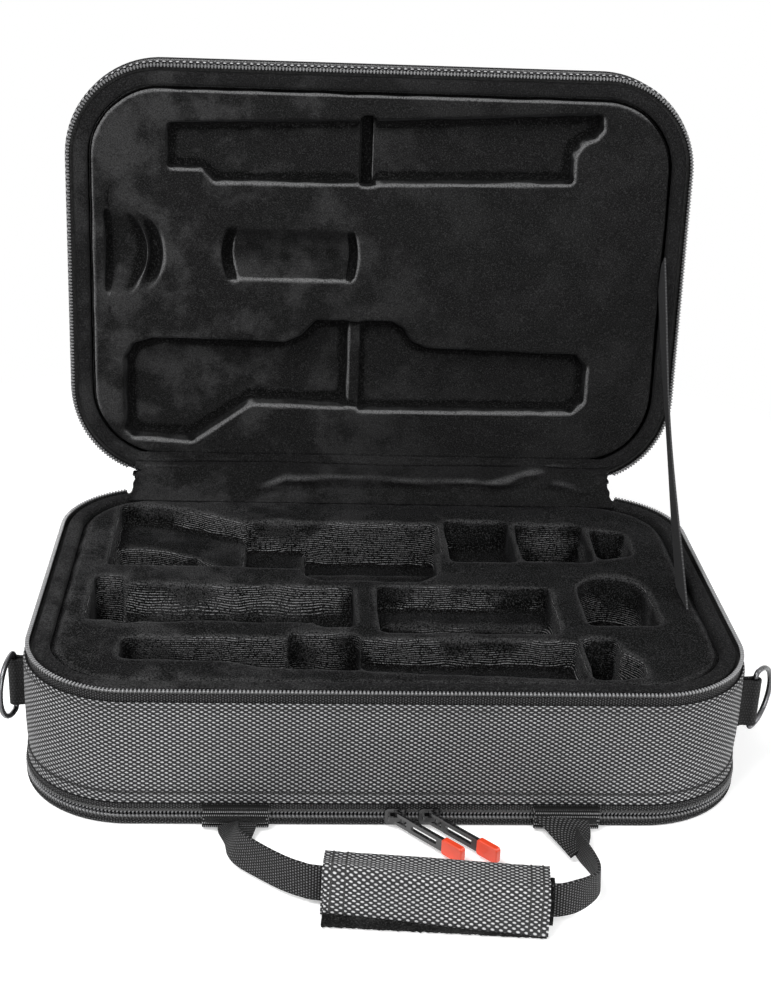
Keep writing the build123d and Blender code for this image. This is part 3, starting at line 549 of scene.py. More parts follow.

# %% [markdown]
# Webbing, ribbon, zip tape and the nylon skin differ in colour, in the pitch of their ribs and in how deep
# the ribs are. All are black cloth: the pale colour on their rib crowns is a painted highlight, and the stay
# ribbon's grey is painted sheen. On some pieces the map runs the other way round, and there its two axes
# are swapped.


# %% Narrow weave finishes
def ribbed_finish(name, light, dark, rib, thread, depth=0.3 * MM, swap=False):
    """The ribbed weave: dark, with a painted highlight in the pale colour on the rib crowns. With swap, the
    ribs follow the other axis of the surface map.
    """
    material, tree, shader = new_finish(name, 0.7, gloss=0.2)
    place = coordinates(tree, "UV")
    if swap:
        axes = parts(tree, place)
        turned = tree.nodes.new("ShaderNodeCombineXYZ")
        tree.links.new(axes["Y"], turned.inputs["X"])
        tree.links.new(axes["X"], turned.inputs["Y"])
        place = turned.outputs[0]
    cloth = use_group(tree, ribs, Vector=place, Rib_Pitch=rib, Thread_Pitch=thread)
    # Painted highlight: the rib crowns take the pale colour.
    colour = blend_colours(tree, fade(tree, cloth.outputs["Height"], 0.40, 0.98), dark, light)
    colour = blend_colours(tree, fade(tree, cloth.outputs["Shade"], 0.3, 0.8, 0.0, 0.5), colour, dark)
    tree.links.new(colour, shader.inputs["Base Color"])
    raise_surface(tree, shader, cloth.outputs["Height"], depth)
    return material


webbing = ribbed_finish("black webbing", (0.15, 0.15, 0.153), (0.002, 0.002, 0.002), 1.3 * MM, 1.5 * MM,
                        depth=0.5 * MM)
ring_webbing = ribbed_finish("webbing of the ring tabs", (0.030, 0.030, 0.031), (0.006, 0.006, 0.006),
                             1.6 * MM, 1.3 * MM, swap=True)
patch_webbing = ribbed_finish("webbing of the handle patches", (0.30, 0.30, 0.303), (0.002, 0.002, 0.002),
                              1.95 * MM, 0.9 * MM, swap=True)
# The stay ribbon's grey is painted sheen on a black ribbon.
ribbon_cloth = ribbed_finish("stay ribbon", (0.085, 0.085, 0.087), (0.030, 0.030, 0.031), 1.1 * MM, 0.8 * MM,
                             depth=0.15 * MM)
tape_cloth = ribbed_finish("zip tape", (0.080, 0.080, 0.082), (0.004, 0.004, 0.004), 1.25 * MM, 1.3 * MM)
skin_cloth = ribbed_finish("black nylon skin", (0.105, 0.105, 0.107), (0.004, 0.004, 0.004), 1.3 * MM, 1.0 * MM)
print("narrow weaves done,", len(bpy.data.materials), "materials so far")

# %% [markdown]
# The hard finishes are few: dark plated metal on the sliders and pulls, gunmetal on the D-rings, moulded
# plastic on the zip teeth and the orange finger tips, and board inside the walls.

# %% Hard finishes
def hard_finish(name, colour, roughness, metallic=0.0, coat=0.0):
    """A hard finish with a fine grain and slow changes of tone."""
    material, tree, shader = new_finish(name, roughness, metallic=metallic)
    shader.inputs["Coat Weight"].default_value = coat
    place = coordinates(tree, "Object")
    fine = speckle(tree, place, 900.0, 3.0)
    broad = fade(tree, speckle(tree, place, 60.0, 3.0), 0.3, 0.7)
    tree.links.new(blend_colours(tree, broad, scaled(colour, 0.8), colour), shader.inputs["Base Color"])
    tree.links.new(fade(tree, fine, 0.2, 0.8, 0.8 * roughness, min(1.0, 1.25 * roughness)),
                   shader.inputs["Roughness"])
    raise_surface(tree, shader, fine, 0.03 * MM, 0.4)
    return material


def teeth_finish(name, root, crest):
    """Moulded dark teeth with a painted highlight: a pale colour on their heads."""
    material, tree, shader = new_finish(name, 0.34)
    shader.inputs["Coat Weight"].default_value = 0.3
    head = fade(tree, attribute(tree, "head"), 0.35, 0.9)
    tree.links.new(blend_colours(tree, head, root, crest), shader.inputs["Base Color"])
    return material


gunmetal = hard_finish("gunmetal ring", (0.13, 0.13, 0.135), 0.28, metallic=1.0)
dark_metal = hard_finish("black plated metal", (0.006, 0.006, 0.0065), 0.20, metallic=0.2, coat=0.8)
orange = hard_finish("orange finger tip", (0.88, 0.062, 0.014), 0.38, coat=0.35)
# The pale head colours are painted highlights, brightest on the base's main zip and dimmer on the lid's and the
# compartment's.
teeth_plastic = teeth_finish("zip teeth", (0.008, 0.008, 0.008), (0.20, 0.20, 0.205))
lid_teeth = teeth_finish("lid zip teeth", (0.006, 0.006, 0.006), (0.11, 0.11, 0.113))
dark_teeth = teeth_finish("compartment zip teeth", (0.008, 0.008, 0.008), (0.15, 0.15, 0.155))
thread = hard_finish("sewing thread", (0.012, 0.012, 0.012), 0.7)
board = hard_finish("black board", (0.015, 0.015, 0.015), 0.8)
print("hard finishes done,", len(bpy.data.materials), "materials so far")

# %% [markdown]
# The solids of the hard parts stay as they are and get their finish here, by name. The soft ones get the
# board for now, and the cloth pieces that are made below replace them.

# %% Finish the solids
for name, node in nodes.items():
    node.data.materials.clear()
    kind = board
    if "d_ring" in name:
        kind = gunmetal
    elif "pull_tip" in name:
        kind = orange
    elif "slider" in name or "pull" in name:
        kind = dark_metal
    node.data.materials.append(kind)
print("finishes", len(bpy.data.materials))

# %% [markdown]
# These helpers do what a hand does over and over: clear the selection, name what was just added, freeze
# its place into its mesh, and apply its modifiers.

# %% Modelling helpers


def clear_selection():
    if bpy.context.mode != "OBJECT":
        bpy.ops.object.mode_set(mode="OBJECT")
    bpy.ops.object.select_all(action="DESELECT")


def only(piece):
    """Selects one piece and makes it the active one."""
    clear_selection()
    piece.select_set(True)
    bpy.context.view_layer.objects.active = piece


def named(name):
    piece = bpy.context.active_object
    piece.name = name
    piece.data.name = name
    return piece


def freeze(piece):
    """Puts a piece's place, turn and scale into its mesh."""
    only(piece)
    bpy.ops.object.transform_apply(location=True, rotation=True, scale=True)


def add_modifier(piece, kind, **settings):
    modifier = piece.modifiers.new(kind.lower(), kind)
    for label, value in settings.items():
        setattr(modifier, label, value)
    return modifier


def apply_modifiers(piece):
    only(piece)
    for modifier in list(piece.modifiers):
        bpy.ops.object.modifier_apply(modifier=modifier.name)


def outward_faces(piece):
    only(piece)
    bpy.ops.object.mode_set(mode="EDIT")
    bpy.ops.mesh.select_all(action="SELECT")
    bpy.ops.mesh.remove_doubles(threshold=0.00002)
    bpy.ops.mesh.normals_make_consistent(inside=False)
    bpy.ops.object.mode_set(mode="OBJECT")


# %% [markdown]
# Most padded pieces start as a box or a bar, and most cloth starts as a flat grid or a ribbon that is given
# its thickness at the end. Both ways come up again and again, so they are written once.

# %% Blocks, bars and cloth


def block(name, low, high):
    """A box between two corners."""
    low, high = Vector(low), Vector(high)
    clear_selection()
    bpy.ops.mesh.primitive_cube_add(size=1, scale=high - low, location=(low + high) / 2)
    piece = named(name)
    freeze(piece)
    return piece


def round_bar(name, radius, length, middle, sides, caps="NGON"):
    """A cylinder along X."""
    clear_selection()
    bpy.ops.mesh.primitive_cylinder_add(vertices=sides, radius=radius, depth=length, end_fill_type=caps,
                                        rotation=(0, math.pi / 2, 0), location=middle)
    piece = named(name)
    freeze(piece)
    return piece


def deselect_mesh(piece):
    """Leaves nothing selected in a mesh, so that code can select by place or normal."""
    only(piece)
    bpy.ops.object.mode_set(mode="EDIT")
    bpy.ops.mesh.select_all(action="DESELECT")
    bpy.ops.object.mode_set(mode="OBJECT")


def soften(piece, width, segments=2):
    """Rounds the sharp edges."""
    add_modifier(piece, "BEVEL", width=width, segments=segments, limit_method="ANGLE")
    apply_modifiers(piece)


def thicken(piece, thickness, rounding=0.0):
    """Gives a flat piece its thickness and, if asked, round edges."""
    add_modifier(piece, "SOLIDIFY", thickness=thickness, offset=0)
    if rounding:
        add_modifier(piece, "BEVEL", width=rounding, segments=2, limit_method="ANGLE")
    apply_modifiers(piece)
    outward_faces(piece)


def lay_map(piece, places):
    """Surface map of a grid, from a place for each of its points."""
    layer = piece.data.uv_layers.active
    for loop in piece.data.loops:
        layer.data[loop.index].uv = places[loop.vertex_index]


# %% [markdown]
# A finished piece is dressed: it gets its finish and smooth shading, it is tied to the body that it moves
# with, and the plain solids that it stands for are named, so that they aren't shown as well.

# %% Dress a piece


def dress(piece, material, body, *replaced, smooth=None):
    """Gives a finished piece its finish, its body if it has one, and the solids it stands for."""
    piece.data.materials.clear()
    piece.data.materials.append(material)
    if smooth is not None:
        only(piece)
        bpy.ops.object.shade_smooth_by_angle(angle=math.radians(smooth))
    if body:
        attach(piece, body)
    if replaced:
        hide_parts(*replaced)
    return piece


def joined(name, pieces):
    """Joins several pieces into one."""
    clear_selection()
    for piece in pieces:
        piece.select_set(True)
    bpy.context.view_layer.objects.active = pieces[0]
    if len(pieces) > 1:
        bpy.ops.object.join()
    return named(name)


# %% [markdown]
# Most pieces of a soft case are one section carried round the walls: covers, hems, tapes and rim lips. So
# the first tool is a line round the case, drawn in by any distance. A section swept along it gives the
# piece, and the distance along the line gives the surface map that the weave follows round the corners.

# %% A line round the case


def drawn_line(name, points, closed):
    """A curve of straight steps through points."""
    curve = bpy.data.curves.new(name, "CURVE")
    curve.dimensions = "3D"
    spline = curve.splines.new("POLY")
    spline.points.add(len(points) - 1)
    for point, place in zip(spline.points, points):
        point.co = (*place, 1)
    spline.use_cyclic_u = closed
    line = bpy.data.objects.new(name, curve)
    scene.collection.objects.link(line)
    return line


def outline_point(distance, inset=0.0):
    """Point of the outline and its outward direction, by distance from the middle of the front."""
    quarter = math.pi / 2 * CORNER
    stops = (FLAT_X, FLAT_X + quarter, FLAT_X + quarter + 2 * FLAT_Y, FLAT_X + 2 * quarter + 2 * FLAT_Y)
    side = math.copysign(1, distance)
    run = abs(distance)
    if run <= stops[0]:
        x, y, out = run, -FLAT_Y - CORNER, (0, -1)
    elif run <= stops[1]:
        turn = (run - stops[0]) / CORNER
        out = (math.sin(turn), -math.cos(turn))
        x, y = FLAT_X + CORNER * out[0], -FLAT_Y + CORNER * out[1]
    elif run <= stops[2]:
        x, y, out = FLAT_X + CORNER, -FLAT_Y + run - stops[1], (1, 0)
    elif run <= stops[3]:
        turn = (run - stops[2]) / CORNER
        out = (math.cos(turn), math.sin(turn))
        x, y = FLAT_X + CORNER * out[0], FLAT_Y + CORNER * out[1]
    else:
        x, y, out = FLAT_X - (run - stops[3]), FLAT_Y + CORNER, (0, 1)
    return Vector((side * (x - inset * out[0]), y - inset * out[1], 0)), Vector((side * out[0], out[1], 0))


HALF_ROUND = 2 * FLAT_X + math.pi * CORNER + 2 * FLAT_Y


def distance_of(x, y):
    """Distance along the outline of the point of it nearest to (x, y)."""
    quarter = math.pi / 2 * CORNER
    side = 1 if x >= 0 else -1
    x = abs(x)
    if x <= FLAT_X:
        run = x if y < 0 else HALF_ROUND - x
    elif y < -FLAT_Y:
        run = FLAT_X + CORNER * math.atan2(x - FLAT_X, -FLAT_Y - y)
    elif y <= FLAT_Y:
        run = FLAT_X + quarter + y + FLAT_Y
    else:
        run = FLAT_X + quarter + 2 * FLAT_Y + CORNER * math.atan2(y - FLAT_Y, x - FLAT_X)
    return side * run


def case_line(inset=0.0, z=0.0, end=None, step=4 * MM):
    """A curve round the case. With an end, it stops at that distance each side of the front's middle."""
    reach = HALF_ROUND if end is None else end
    count = 2 * math.ceil(reach / step)
    distances = [-reach + 2 * reach * i / count for i in range(count + (end is not None))]
    places = (outline_point(distance, inset)[0] for distance in distances)
    return drawn_line("case line", [(place.x, place.y, z) for place in places], end is None)


def zip_end_distance(end_x):
    """Distance from the front's middle to where a zip ends on the back corner."""
    turn = math.acos((end_x - FLAT_X) / CORNER)
    return FLAT_X + math.pi / 2 * CORNER + 2 * FLAT_Y + CORNER * turn


print("way round the case", round(2 * HALF_ROUND, 4))

# %% [markdown]
# A swept piece starts as that line with a drawn section as its bevel object. Converting it to a mesh and
# joining its doubles gives clean quads that run along the wall.

# %% Sweep a section round the case


def sweep(name, points, end=None, step=4 * MM, closed=True):
    """Carries a section round the case. Its points are (distance outwards from the cover, height)."""
    line = case_line(0.0, 0.0, end, step)
    section = drawn_line("section", [(out, height, 0) for out, height in points], closed)
    line.data.bevel_mode = "OBJECT"
    line.data.bevel_object = section
    line.data.use_fill_caps = end is not None and closed
    only(line)
    bpy.ops.object.convert(target="MESH")
    piece = named(name)
    bpy.data.objects.remove(section)
    outward_faces(piece)
    return piece


# %% [markdown]
# The weave has to follow each piece, so a piece gets a surface map in metres. On a wall it runs along the
# case and up; on a flat panel it runs across, let out over the rounded edge so that the rows keep their pitch.

# %% Surface maps


def wall_map(piece, shut=True):
    """Surface map in metres: along the outline, and up the wall and in over its edges."""
    layer = piece.data.uv_layers.get("wall") or piece.data.uv_layers.new(name="wall")
    mesh = piece.data
    for face in mesh.polygons:
        side = 1 if face.center.x >= 0 else -1
        for loop in face.loop_indices:
            spot = mesh.vertices[mesh.loops[loop].vertex_index].co
            run = abs(distance_of(spot.x, spot.y)) * side
            base_point, out = outline_point(run)
            proud = (Vector((spot.x, spot.y, 0)) - base_point).dot(out)
            layer.data[loop].uv = (run, spot.z - proud)
    layer.active_render = True
    piece.data.uv_layers.active = layer


def flat_map(piece, rounding):
    """Surface map in metres for a flat panel, let out over its rounded edge."""
    layer = piece.data.uv_layers.get("wall") or piece.data.uv_layers.new(name="wall")
    mesh = piece.data
    top = max(vertex.co.z for vertex in mesh.vertices)
    for loop in mesh.loops:
        spot = mesh.vertices[loop.vertex_index].co
        _, out = outline_point(distance_of(spot.x, spot.y))
        drop = min(top - spot.z, rounding)
        turn = math.acos(1 - drop / rounding)
        extra = rounding * (turn - math.sin(turn)) + max(0.0, top - spot.z - rounding)
        layer.data[loop.index].uv = (spot.x + out.x * extra, spot.y + out.y * extra)
    layer.active_render = True
    piece.data.uv_layers.active = layer


# %% [markdown]
# Hems, cords and welts are all swept from a small rectangle with round corners.

# %% A round-cornered section


def rounded_section(low_out, high_out, low_z, high_z, radius, steps=4):
    """A rectangle with round corners, as section points."""
    corners = ((high_out - radius, low_z + radius, -90), (high_out - radius, high_z - radius, 0),
               (low_out + radius, high_z - radius, 90), (low_out + radius, low_z + radius, 180))
    points = []
    for out, height, start in corners:
        for i in range(steps + 1):
            turn = math.radians(start + 90 * i / steps)
            points.append((out + radius * math.cos(turn), height + radius * math.sin(turn)))
    return points


# %% [markdown]
# The base's woven cover is one band. On the real case it is pulled over a stiff wall, bellies out a little
# between its seams, and its upper edge is turned under and stitched beside the zip.

# %% Base cover and hem
COVER_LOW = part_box("base_cover")[0][2]
COVER_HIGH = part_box("base_cover")[1][2]
COVER_T = 1.2 * MM
HEM_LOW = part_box("base_hem")[0][2]
HEM_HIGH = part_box("base_hem")[1][2]


def cover_section(low, high, belly, thick, fold):
    """A cloth band whose upper edge is folded over, with a slight belly."""
    middle = (low + high) / 2
    outer = [(-0.9 * MM, low), (-0.25 * MM, low + 0.25 * MM)]
    steps = 10
    for i in range(1, steps + 1):
        height = low + (high - fold - low) * i / steps
        sag = 1 - ((height - middle) / ((high - low) / 2)) ** 2
        outer.append((belly * sag, height))
    turn = [(0.25 * MM, high - 0.8 * fold), (0.35 * MM, high - 0.45 * fold), (0.1 * MM, high - 0.1 * fold),
            (-0.35 * MM, high), (-thick, high - 0.2 * fold)]
    return outer + turn + [(-thick, low)]


base_cover_cloth = sweep("base_cover_cloth", cover_section(COVER_LOW, COVER_HIGH, 0.7 * MM, COVER_T, 3 * MM))
wall_map(base_cover_cloth)
dress(base_cover_cloth, woven, "base", "base_cover", smooth=50)

hem_points = rounded_section(-COVER_T, 0.55 * MM, HEM_LOW, HEM_HIGH - 0.3 * MM, 0.8 * MM)
base_hem_cloth = sweep("base_hem_cloth", hem_points)
wall_map(base_hem_cloth)
dress(base_hem_cloth, woven, "base", "base_hem", smooth=50)
print("cover from", COVER_LOW, "to", COVER_HIGH, "hem to", HEM_HIGH)

# %% [markdown]
# A seam shows as short stitches in a row. One stitch is modelled, an Array repeats it and a Curve modifier
# lays the row along a line round the case. Zip teeth are made in the same way, later.

# %% Lay copies of one small piece along a line


def laid_along(name, unit, pitch, inset, z, end=None):
    """Repeats unit, which lies along X at the origin, round the case at one inset and height."""
    reach = HALF_ROUND if end is None else end
    line = case_line(inset, z, reach - 0.01 * MM, step=1.5 * MM)
    length = 0.0
    points = [Vector(point.co[:3]) for point in line.data.splines[0].points]
    for first, second in zip(points, points[1:]):
        length += (second - first).length
    count = int(length / pitch)
    add_modifier(unit, "ARRAY", use_relative_offset=False, use_constant_offset=True,
                 constant_offset_displace=(length / count, 0, 0), count=count)
    add_modifier(unit, "CURVE", object=line, deform_axis="POS_X")
    apply_modifiers(unit)
    bpy.data.objects.remove(line)
    unit.name = name
    unit.data.name = name
    return unit


def stitch(length, thick):
    """One stitch: a short round bar."""
    clear_selection()
    bpy.ops.mesh.primitive_cylinder_add(vertices=6, radius=thick / 2, depth=length, end_fill_type="TRIFAN",
                                        rotation=(0, math.pi / 2, 0), location=(length / 2, 0, 0))
    piece = named("stitch")
    freeze(piece)
    return piece


def seam(name, z, out, body, pitch=3.2 * MM, lid=False):
    """A row of stitches round the case."""
    row = laid_along(name, stitch(2.3 * MM, 0.5 * MM), pitch, -out, z)
    if lid:
        row.data.transform(LID_OPEN)
    dress(row, thread, body, smooth=40)
    return row


seam("hem_seam", HEM_HIGH + 0.1 * MM, 0.1 * MM, "base", pitch=2.6 * MM)
seam("cover_edge_seam", COVER_HIGH - 2.6 * MM, 0.3 * MM, "base")
# Painted shadow: a dark band of zip tape cloth fills the groove between the cover and the hem.
fold_shade = sweep("painted_seam_shadow", rounded_section(-1.0 * MM, -0.15 * MM, HEM_HIGH - 0.7 * MM, HEM_HIGH + 0.6 * MM,
                                                0.3 * MM, 2))
wall_map(fold_shade)
dress(fold_shade, tape_cloth, "base", smooth=50)
print("stitches at", round(HEM_HIGH + 0.1 * MM, 4), "and", round(COVER_HIGH - 2.6 * MM, 4))

# %% [markdown]
# The rim lips are strips of foam in black velour that stand between the zip and the insert. Their section
# is crowned, and they are drawn in where they meet the zip tape.

# %% Rim lips
PAD_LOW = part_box("base_rim_pad")[0][2]
PAD_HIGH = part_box("base_rim_pad")[1][2]
PAD_OUT = -4.4 * MM
PAD_IN = -12.2 * MM


def lip_section(low, high, swell, steps=14):
    """A half-round crown over a flat foot, from the tape inwards."""
    middle, half = (PAD_OUT + PAD_IN) / 2, (PAD_OUT - PAD_IN) / 2
    points = [(PAD_OUT - 0.3 * MM, low)]
    for i in range(steps + 1):
        turn = math.pi * i / steps
        reach = math.copysign(abs(math.cos(turn)) ** 0.55, math.cos(turn))
        points.append((middle + half * reach, low + (high - low) * (0.30 + 0.70 * math.sin(turn) ** swell)))
    points.append((PAD_IN + 0.3 * MM, low))
    return points


base_lip = sweep("base_rim_lip", lip_section(PAD_LOW, PAD_HIGH, 0.62), step=3 * MM)
dress(base_lip, base_lip_cloth, "base", "base_rim_pad", smooth=60)

lid_lip_points = [(out, mirrored(z)) for out, z in lip_section(PAD_LOW, PAD_HIGH, 0.62)]
lid_lip = sweep("lid_rim_lip", lid_lip_points, step=3 * MM)
lid_lip.data.transform(LID_OPEN)
dress(lid_lip, lip_cloth, "lid", "lid_rim_pad", smooth=60)
print("lips from", round(PAD_LOW, 4), "to", round(PAD_HIGH, 4))

# %% [markdown]
# A zip is a tape with a coil of teeth along its edge. The tape is swept. One tooth is a small rounded bar
# that leans a little, and the rows on the two sides lean opposite ways, which gives a shut zip its chevrons.

# %% Zip tapes and teeth
ROW_H = 2.3 * MM
ROW_PITCH = 1.8 * MM


def tooth(height, depth, width, lean, head_up=True):
    """One tooth: a bar across the tape with softened edges, a rounder head, and a head attribute that places
    the painted highlight.
    """
    clear_selection()
    bpy.ops.mesh.primitive_cube_add(size=1, scale=(width, depth, height), location=(width, 0, 0))
    piece = named("tooth")
    freeze(piece)
    bpy.ops.object.mode_set(mode="EDIT")
    bpy.ops.mesh.select_all(action="SELECT")
    bpy.ops.mesh.bisect(plane_co=(0, 0, 0.12 * height if head_up else -0.12 * height), plane_no=(0, 0, 1))
    bpy.ops.mesh.select_all(action="SELECT")
    bpy.ops.mesh.bevel(offset=0.26 * width, segments=1, affect="EDGES")
    bpy.ops.object.mode_set(mode="OBJECT")
    layer = piece.data.attributes.new("head", "FLOAT", "POINT")
    for vertex in piece.data.vertices:
        share = vertex.co.z / height + 0.5
        if not head_up:
            share = 1 - share
        layer.data[vertex.index].value = share
        swell = 1.0 if share > 0.55 else 0.72
        vertex.co.x = width + (vertex.co.x - width) * swell + lean * (vertex.co.z / height)
        vertex.co.y *= 1.0 if share > 0.55 else 0.8
    return piece


def zip_row(name, node, low, high, out, body, finish, end_x, lean, lid=False, head_up=True):
    """A row of teeth with the cord that they are sewn to."""
    end = zip_end_distance(end_x) - 1.5 * MM
    depth = 2.0 * MM
    bar = tooth(high - low, depth, 0.95 * MM, lean, head_up)
    row = laid_along(name, bar, ROW_PITCH, -(out - depth / 2), (low + high) / 2, end)
    core = sweep("core", rounded_section(out - 1.5 * MM, out - 0.55 * MM, low + 0.4 * MM, high - 0.5 * MM,
                                         0.3 * MM, 1), end=end)
    row = joined(name, [row, core])
    if lid:
        row.data.transform(LID_OPEN)
    dress(row, finish, body, node, smooth=35)
    return row


def zip_tape(name, node, low, high, out, body, end_x, lid=False):
    """The visible tape beside a row, a little hollow between the teeth and the cover."""
    end = zip_end_distance(end_x) - 1.0 * MM
    middle = (low + high) / 2
    points = [(out, low), (out - 0.15 * MM, middle), (out, high), (out - 0.8 * MM, high), (out - 0.8 * MM, low)]
    tape = sweep(name, points, end=end, step=3 * MM)
    wall_map(tape)
    if lid:
        tape.data.transform(LID_OPEN)
    dress(tape, tape_cloth, body, node, smooth=50)
    return tape


# %% [markdown]
# The main zip runs between the two halves and stops on the back corners, where the slider turns in. The
# compartment's zip lies below the hem. Its two rows stay closed, so their heads meet in the middle.

# %% The two zips
BASE_ROW_TOP = ZIP_PLANE - 0.7 * MM
BASE_ROW_LOW = BASE_ROW_TOP - ROW_H
MAIN_OUT = -0.7 * MM
TAPE_OUT = -1.3 * MM
TAPE_LOW = COVER_HIGH - 5 * MM
zip_tape("main_zip_base_tape_cloth", "main_zip_base_tape", TAPE_LOW, BASE_ROW_LOW + 0.2 * MM, TAPE_OUT, "base",
         ZIP_END_X)
zip_row("main_zip_base_coil", "main_zip_base_teeth", BASE_ROW_LOW, BASE_ROW_TOP, MAIN_OUT, "base",
        teeth_plastic, ZIP_END_X, 0.3 * MM)
zip_tape("main_zip_lid_tape_cloth", "main_zip_lid_tape", mirrored(BASE_ROW_LOW) - 0.2 * MM, mirrored(TAPE_LOW),
         TAPE_OUT, "lid", ZIP_END_X, lid=True)
zip_row("main_zip_lid_coil", "main_zip_lid_teeth", mirrored(BASE_ROW_TOP), mirrored(BASE_ROW_LOW), MAIN_OUT,
        "lid", lid_teeth, ZIP_END_X, 0.3 * MM, lid=True, head_up=False)

upper_row, lower_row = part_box("compartment_zip_upper_teeth"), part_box("compartment_zip_lower_teeth")
LOWER_ROW_OUT = 1.6 * MM
LOWER_TAPE_OUT = 1.0 * MM
CHAIN_REACH = 0.15 * MM
zip_tape("compartment_upper_tape_cloth", "compartment_zip_upper_tape", upper_row[1][2] - 0.2 * MM,
         HEM_LOW - 0.1 * MM, LOWER_TAPE_OUT, "base", LOWER_ZIP_END_X)
zip_row("compartment_upper_coil", "compartment_zip_upper_teeth", upper_row[0][2] - CHAIN_REACH, upper_row[1][2],
        LOWER_ROW_OUT, "base", dark_teeth, LOWER_ZIP_END_X, 0.9 * MM, head_up=False)
zip_tape("compartment_lower_tape_cloth", "compartment_zip_lower_tape",
         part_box("compartment_zip_lower_tape")[0][2], lower_row[0][2] + 0.2 * MM, LOWER_TAPE_OUT,
         "compartment_cover", LOWER_ZIP_END_X)
zip_row("compartment_lower_coil", "compartment_zip_lower_teeth", lower_row[0][2], lower_row[1][2] + CHAIN_REACH,
        LOWER_ROW_OUT, "compartment_cover", dark_teeth, LOWER_ZIP_END_X, -0.9 * MM)

# %% [markdown]
# The lid is covered like the base: a woven band round its wall, and over it a woven panel whose edge turns
# down to a seam. The panel is a rounded edge swept round the case's outline, with its top filled in and
# given its thickness.

# %% A flat panel in the case's outline


def outline_panel(name, grow, low, high, rounding, thick, upward):
    """A dished panel: flat, with an edge that rounds over to a short wall."""
    steps = 7
    points = []
    for i in range(steps + 1):
        turn = math.pi / 2 * i / steps
        inward = rounding * (1 - math.cos(turn))
        rise = rounding * math.sin(turn)
        points.append((grow - inward, (high - rounding + rise) if upward else (low + rounding - rise)))
    edge = high - rounding if upward else low + rounding
    foot = low if upward else high
    section = [(grow, foot)] + ([(grow, edge)] if abs(edge - foot) > 0.3 * MM else []) + points[1:]
    piece = sweep(name, section, closed=False, step=4 * MM)
    only(piece)
    bpy.ops.object.mode_set(mode="EDIT")
    bpy.ops.mesh.select_all(action="DESELECT")
    bpy.ops.object.mode_set(mode="OBJECT")
    face_z = high if upward else low
    for edge_item in piece.data.edges:
        ends = [piece.data.vertices[i].co for i in edge_item.vertices]
        edge_item.select = all(abs(end.z - face_z) < 0.01 * MM for end in ends)
    bpy.ops.object.mode_set(mode="EDIT")
    bpy.ops.mesh.edge_face_add()
    bpy.ops.mesh.inset(thickness=6 * MM)
    bpy.ops.mesh.inset(thickness=20 * MM)
    bpy.ops.mesh.select_all(action="SELECT")
    bpy.ops.mesh.normals_make_consistent(inside=False)
    bpy.ops.object.mode_set(mode="OBJECT")
    add_modifier(piece, "SOLIDIFY", thickness=thick, offset=-1)
    apply_modifiers(piece)
    return piece


# %% [markdown]
# The lid's own height is not in the photograph. Its band copies the base's cover, turned over at the zip,
# and a cord of piping covers the seam between the band and the panel.

# %% Lid covers
LID_TOP = ZIP_PLANE + 35 * MM
LID_ROUND = 10 * MM
LID_SEAM = LID_TOP - LID_ROUND - 1 * MM
lid_band_points = [(out, mirrored(z)) for out, z in
                   cover_section(mirrored(LID_SEAM), COVER_HIGH, 0.3 * MM, COVER_T, 3 * MM)]
lid_band = sweep("lid_side_cloth", lid_band_points)
wall_map(lid_band)
lid_band.data.transform(LID_OPEN)
dress(lid_band, woven, "lid", "lid_side_band", smooth=50)

lid_panel = outline_panel("lid_top_cloth", 0.0, LID_SEAM + 0.1 * MM, LID_TOP, LID_ROUND, COVER_T, True)
flat_map(lid_panel, LID_ROUND)
lid_panel.data.transform(LID_OPEN)
dress(lid_panel, woven, "lid", "lid_top_panel", smooth=40)

lid_piping = sweep("lid_piping", rounded_section(-0.8 * MM, 0.9 * MM, LID_SEAM - 0.8 * MM, LID_SEAM + 0.9 * MM,
                                                 0.8 * MM, 3))
wall_map(lid_piping)
lid_piping.data.transform(LID_OPEN)
dress(lid_piping, tape_cloth, "lid", smooth=60)
seam("lid_edge_seam", mirrored(COVER_HIGH - 2.6 * MM), 0.3 * MM, "lid", lid=True)
print("lid from", round(ZIP_PLANE, 4), "to", round(LID_TOP, 4), "when shut")

# %% [markdown]
# The underside is a black nylon skin over a board, with a low turned-up edge that the lower tape is sewn to.

# %% Bottom skin
BOTTOM_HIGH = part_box("bottom_cover")[1][2]
bottom_skin = outline_panel("bottom_skin", 1.5 * MM, 0.0, BOTTOM_HIGH, 1.8 * MM, COVER_T, False)
wall_map(bottom_skin)
for face in bottom_skin.data.polygons:
    if abs(face.normal.z) > 0.5:
        for loop in face.loop_indices:
            spot = bottom_skin.data.vertices[bottom_skin.data.loops[loop].vertex_index].co
            bottom_skin.data.uv_layers.active.data[loop].uv = (spot.x, spot.y)
dress(bottom_skin, skin_cloth, "compartment_cover", "bottom_cover", smooth=40)
print("bottom skin up to", round(BOTTOM_HIGH, 4))

# %% [markdown]
# The inserts are foam under stretched plush. Their solids already hold every well, with crisp edges. Voxel
# remeshing gives them an even skin, smoothing rounds each edge as plush does over foam, and a fine
# displacement keeps the faces from looking machined.

# %% Tools for the inserts
LID_FACE = ZIP_PLANE + 2.4 * MM
# The notch that crosses the lid's front trough: first wide and shallow, then narrow and deep.
LID_NOTCH = (((-12.6 * MM, -90 * MM, 72 * MM), (-3.4 * MM, -53.5 * MM, LID_FACE + 9.4 * MM)),
             ((-11.5 * MM, -91 * MM, 72 * MM), (-5.5 * MM, -53 * MM, LID_FACE + 14 * MM)))
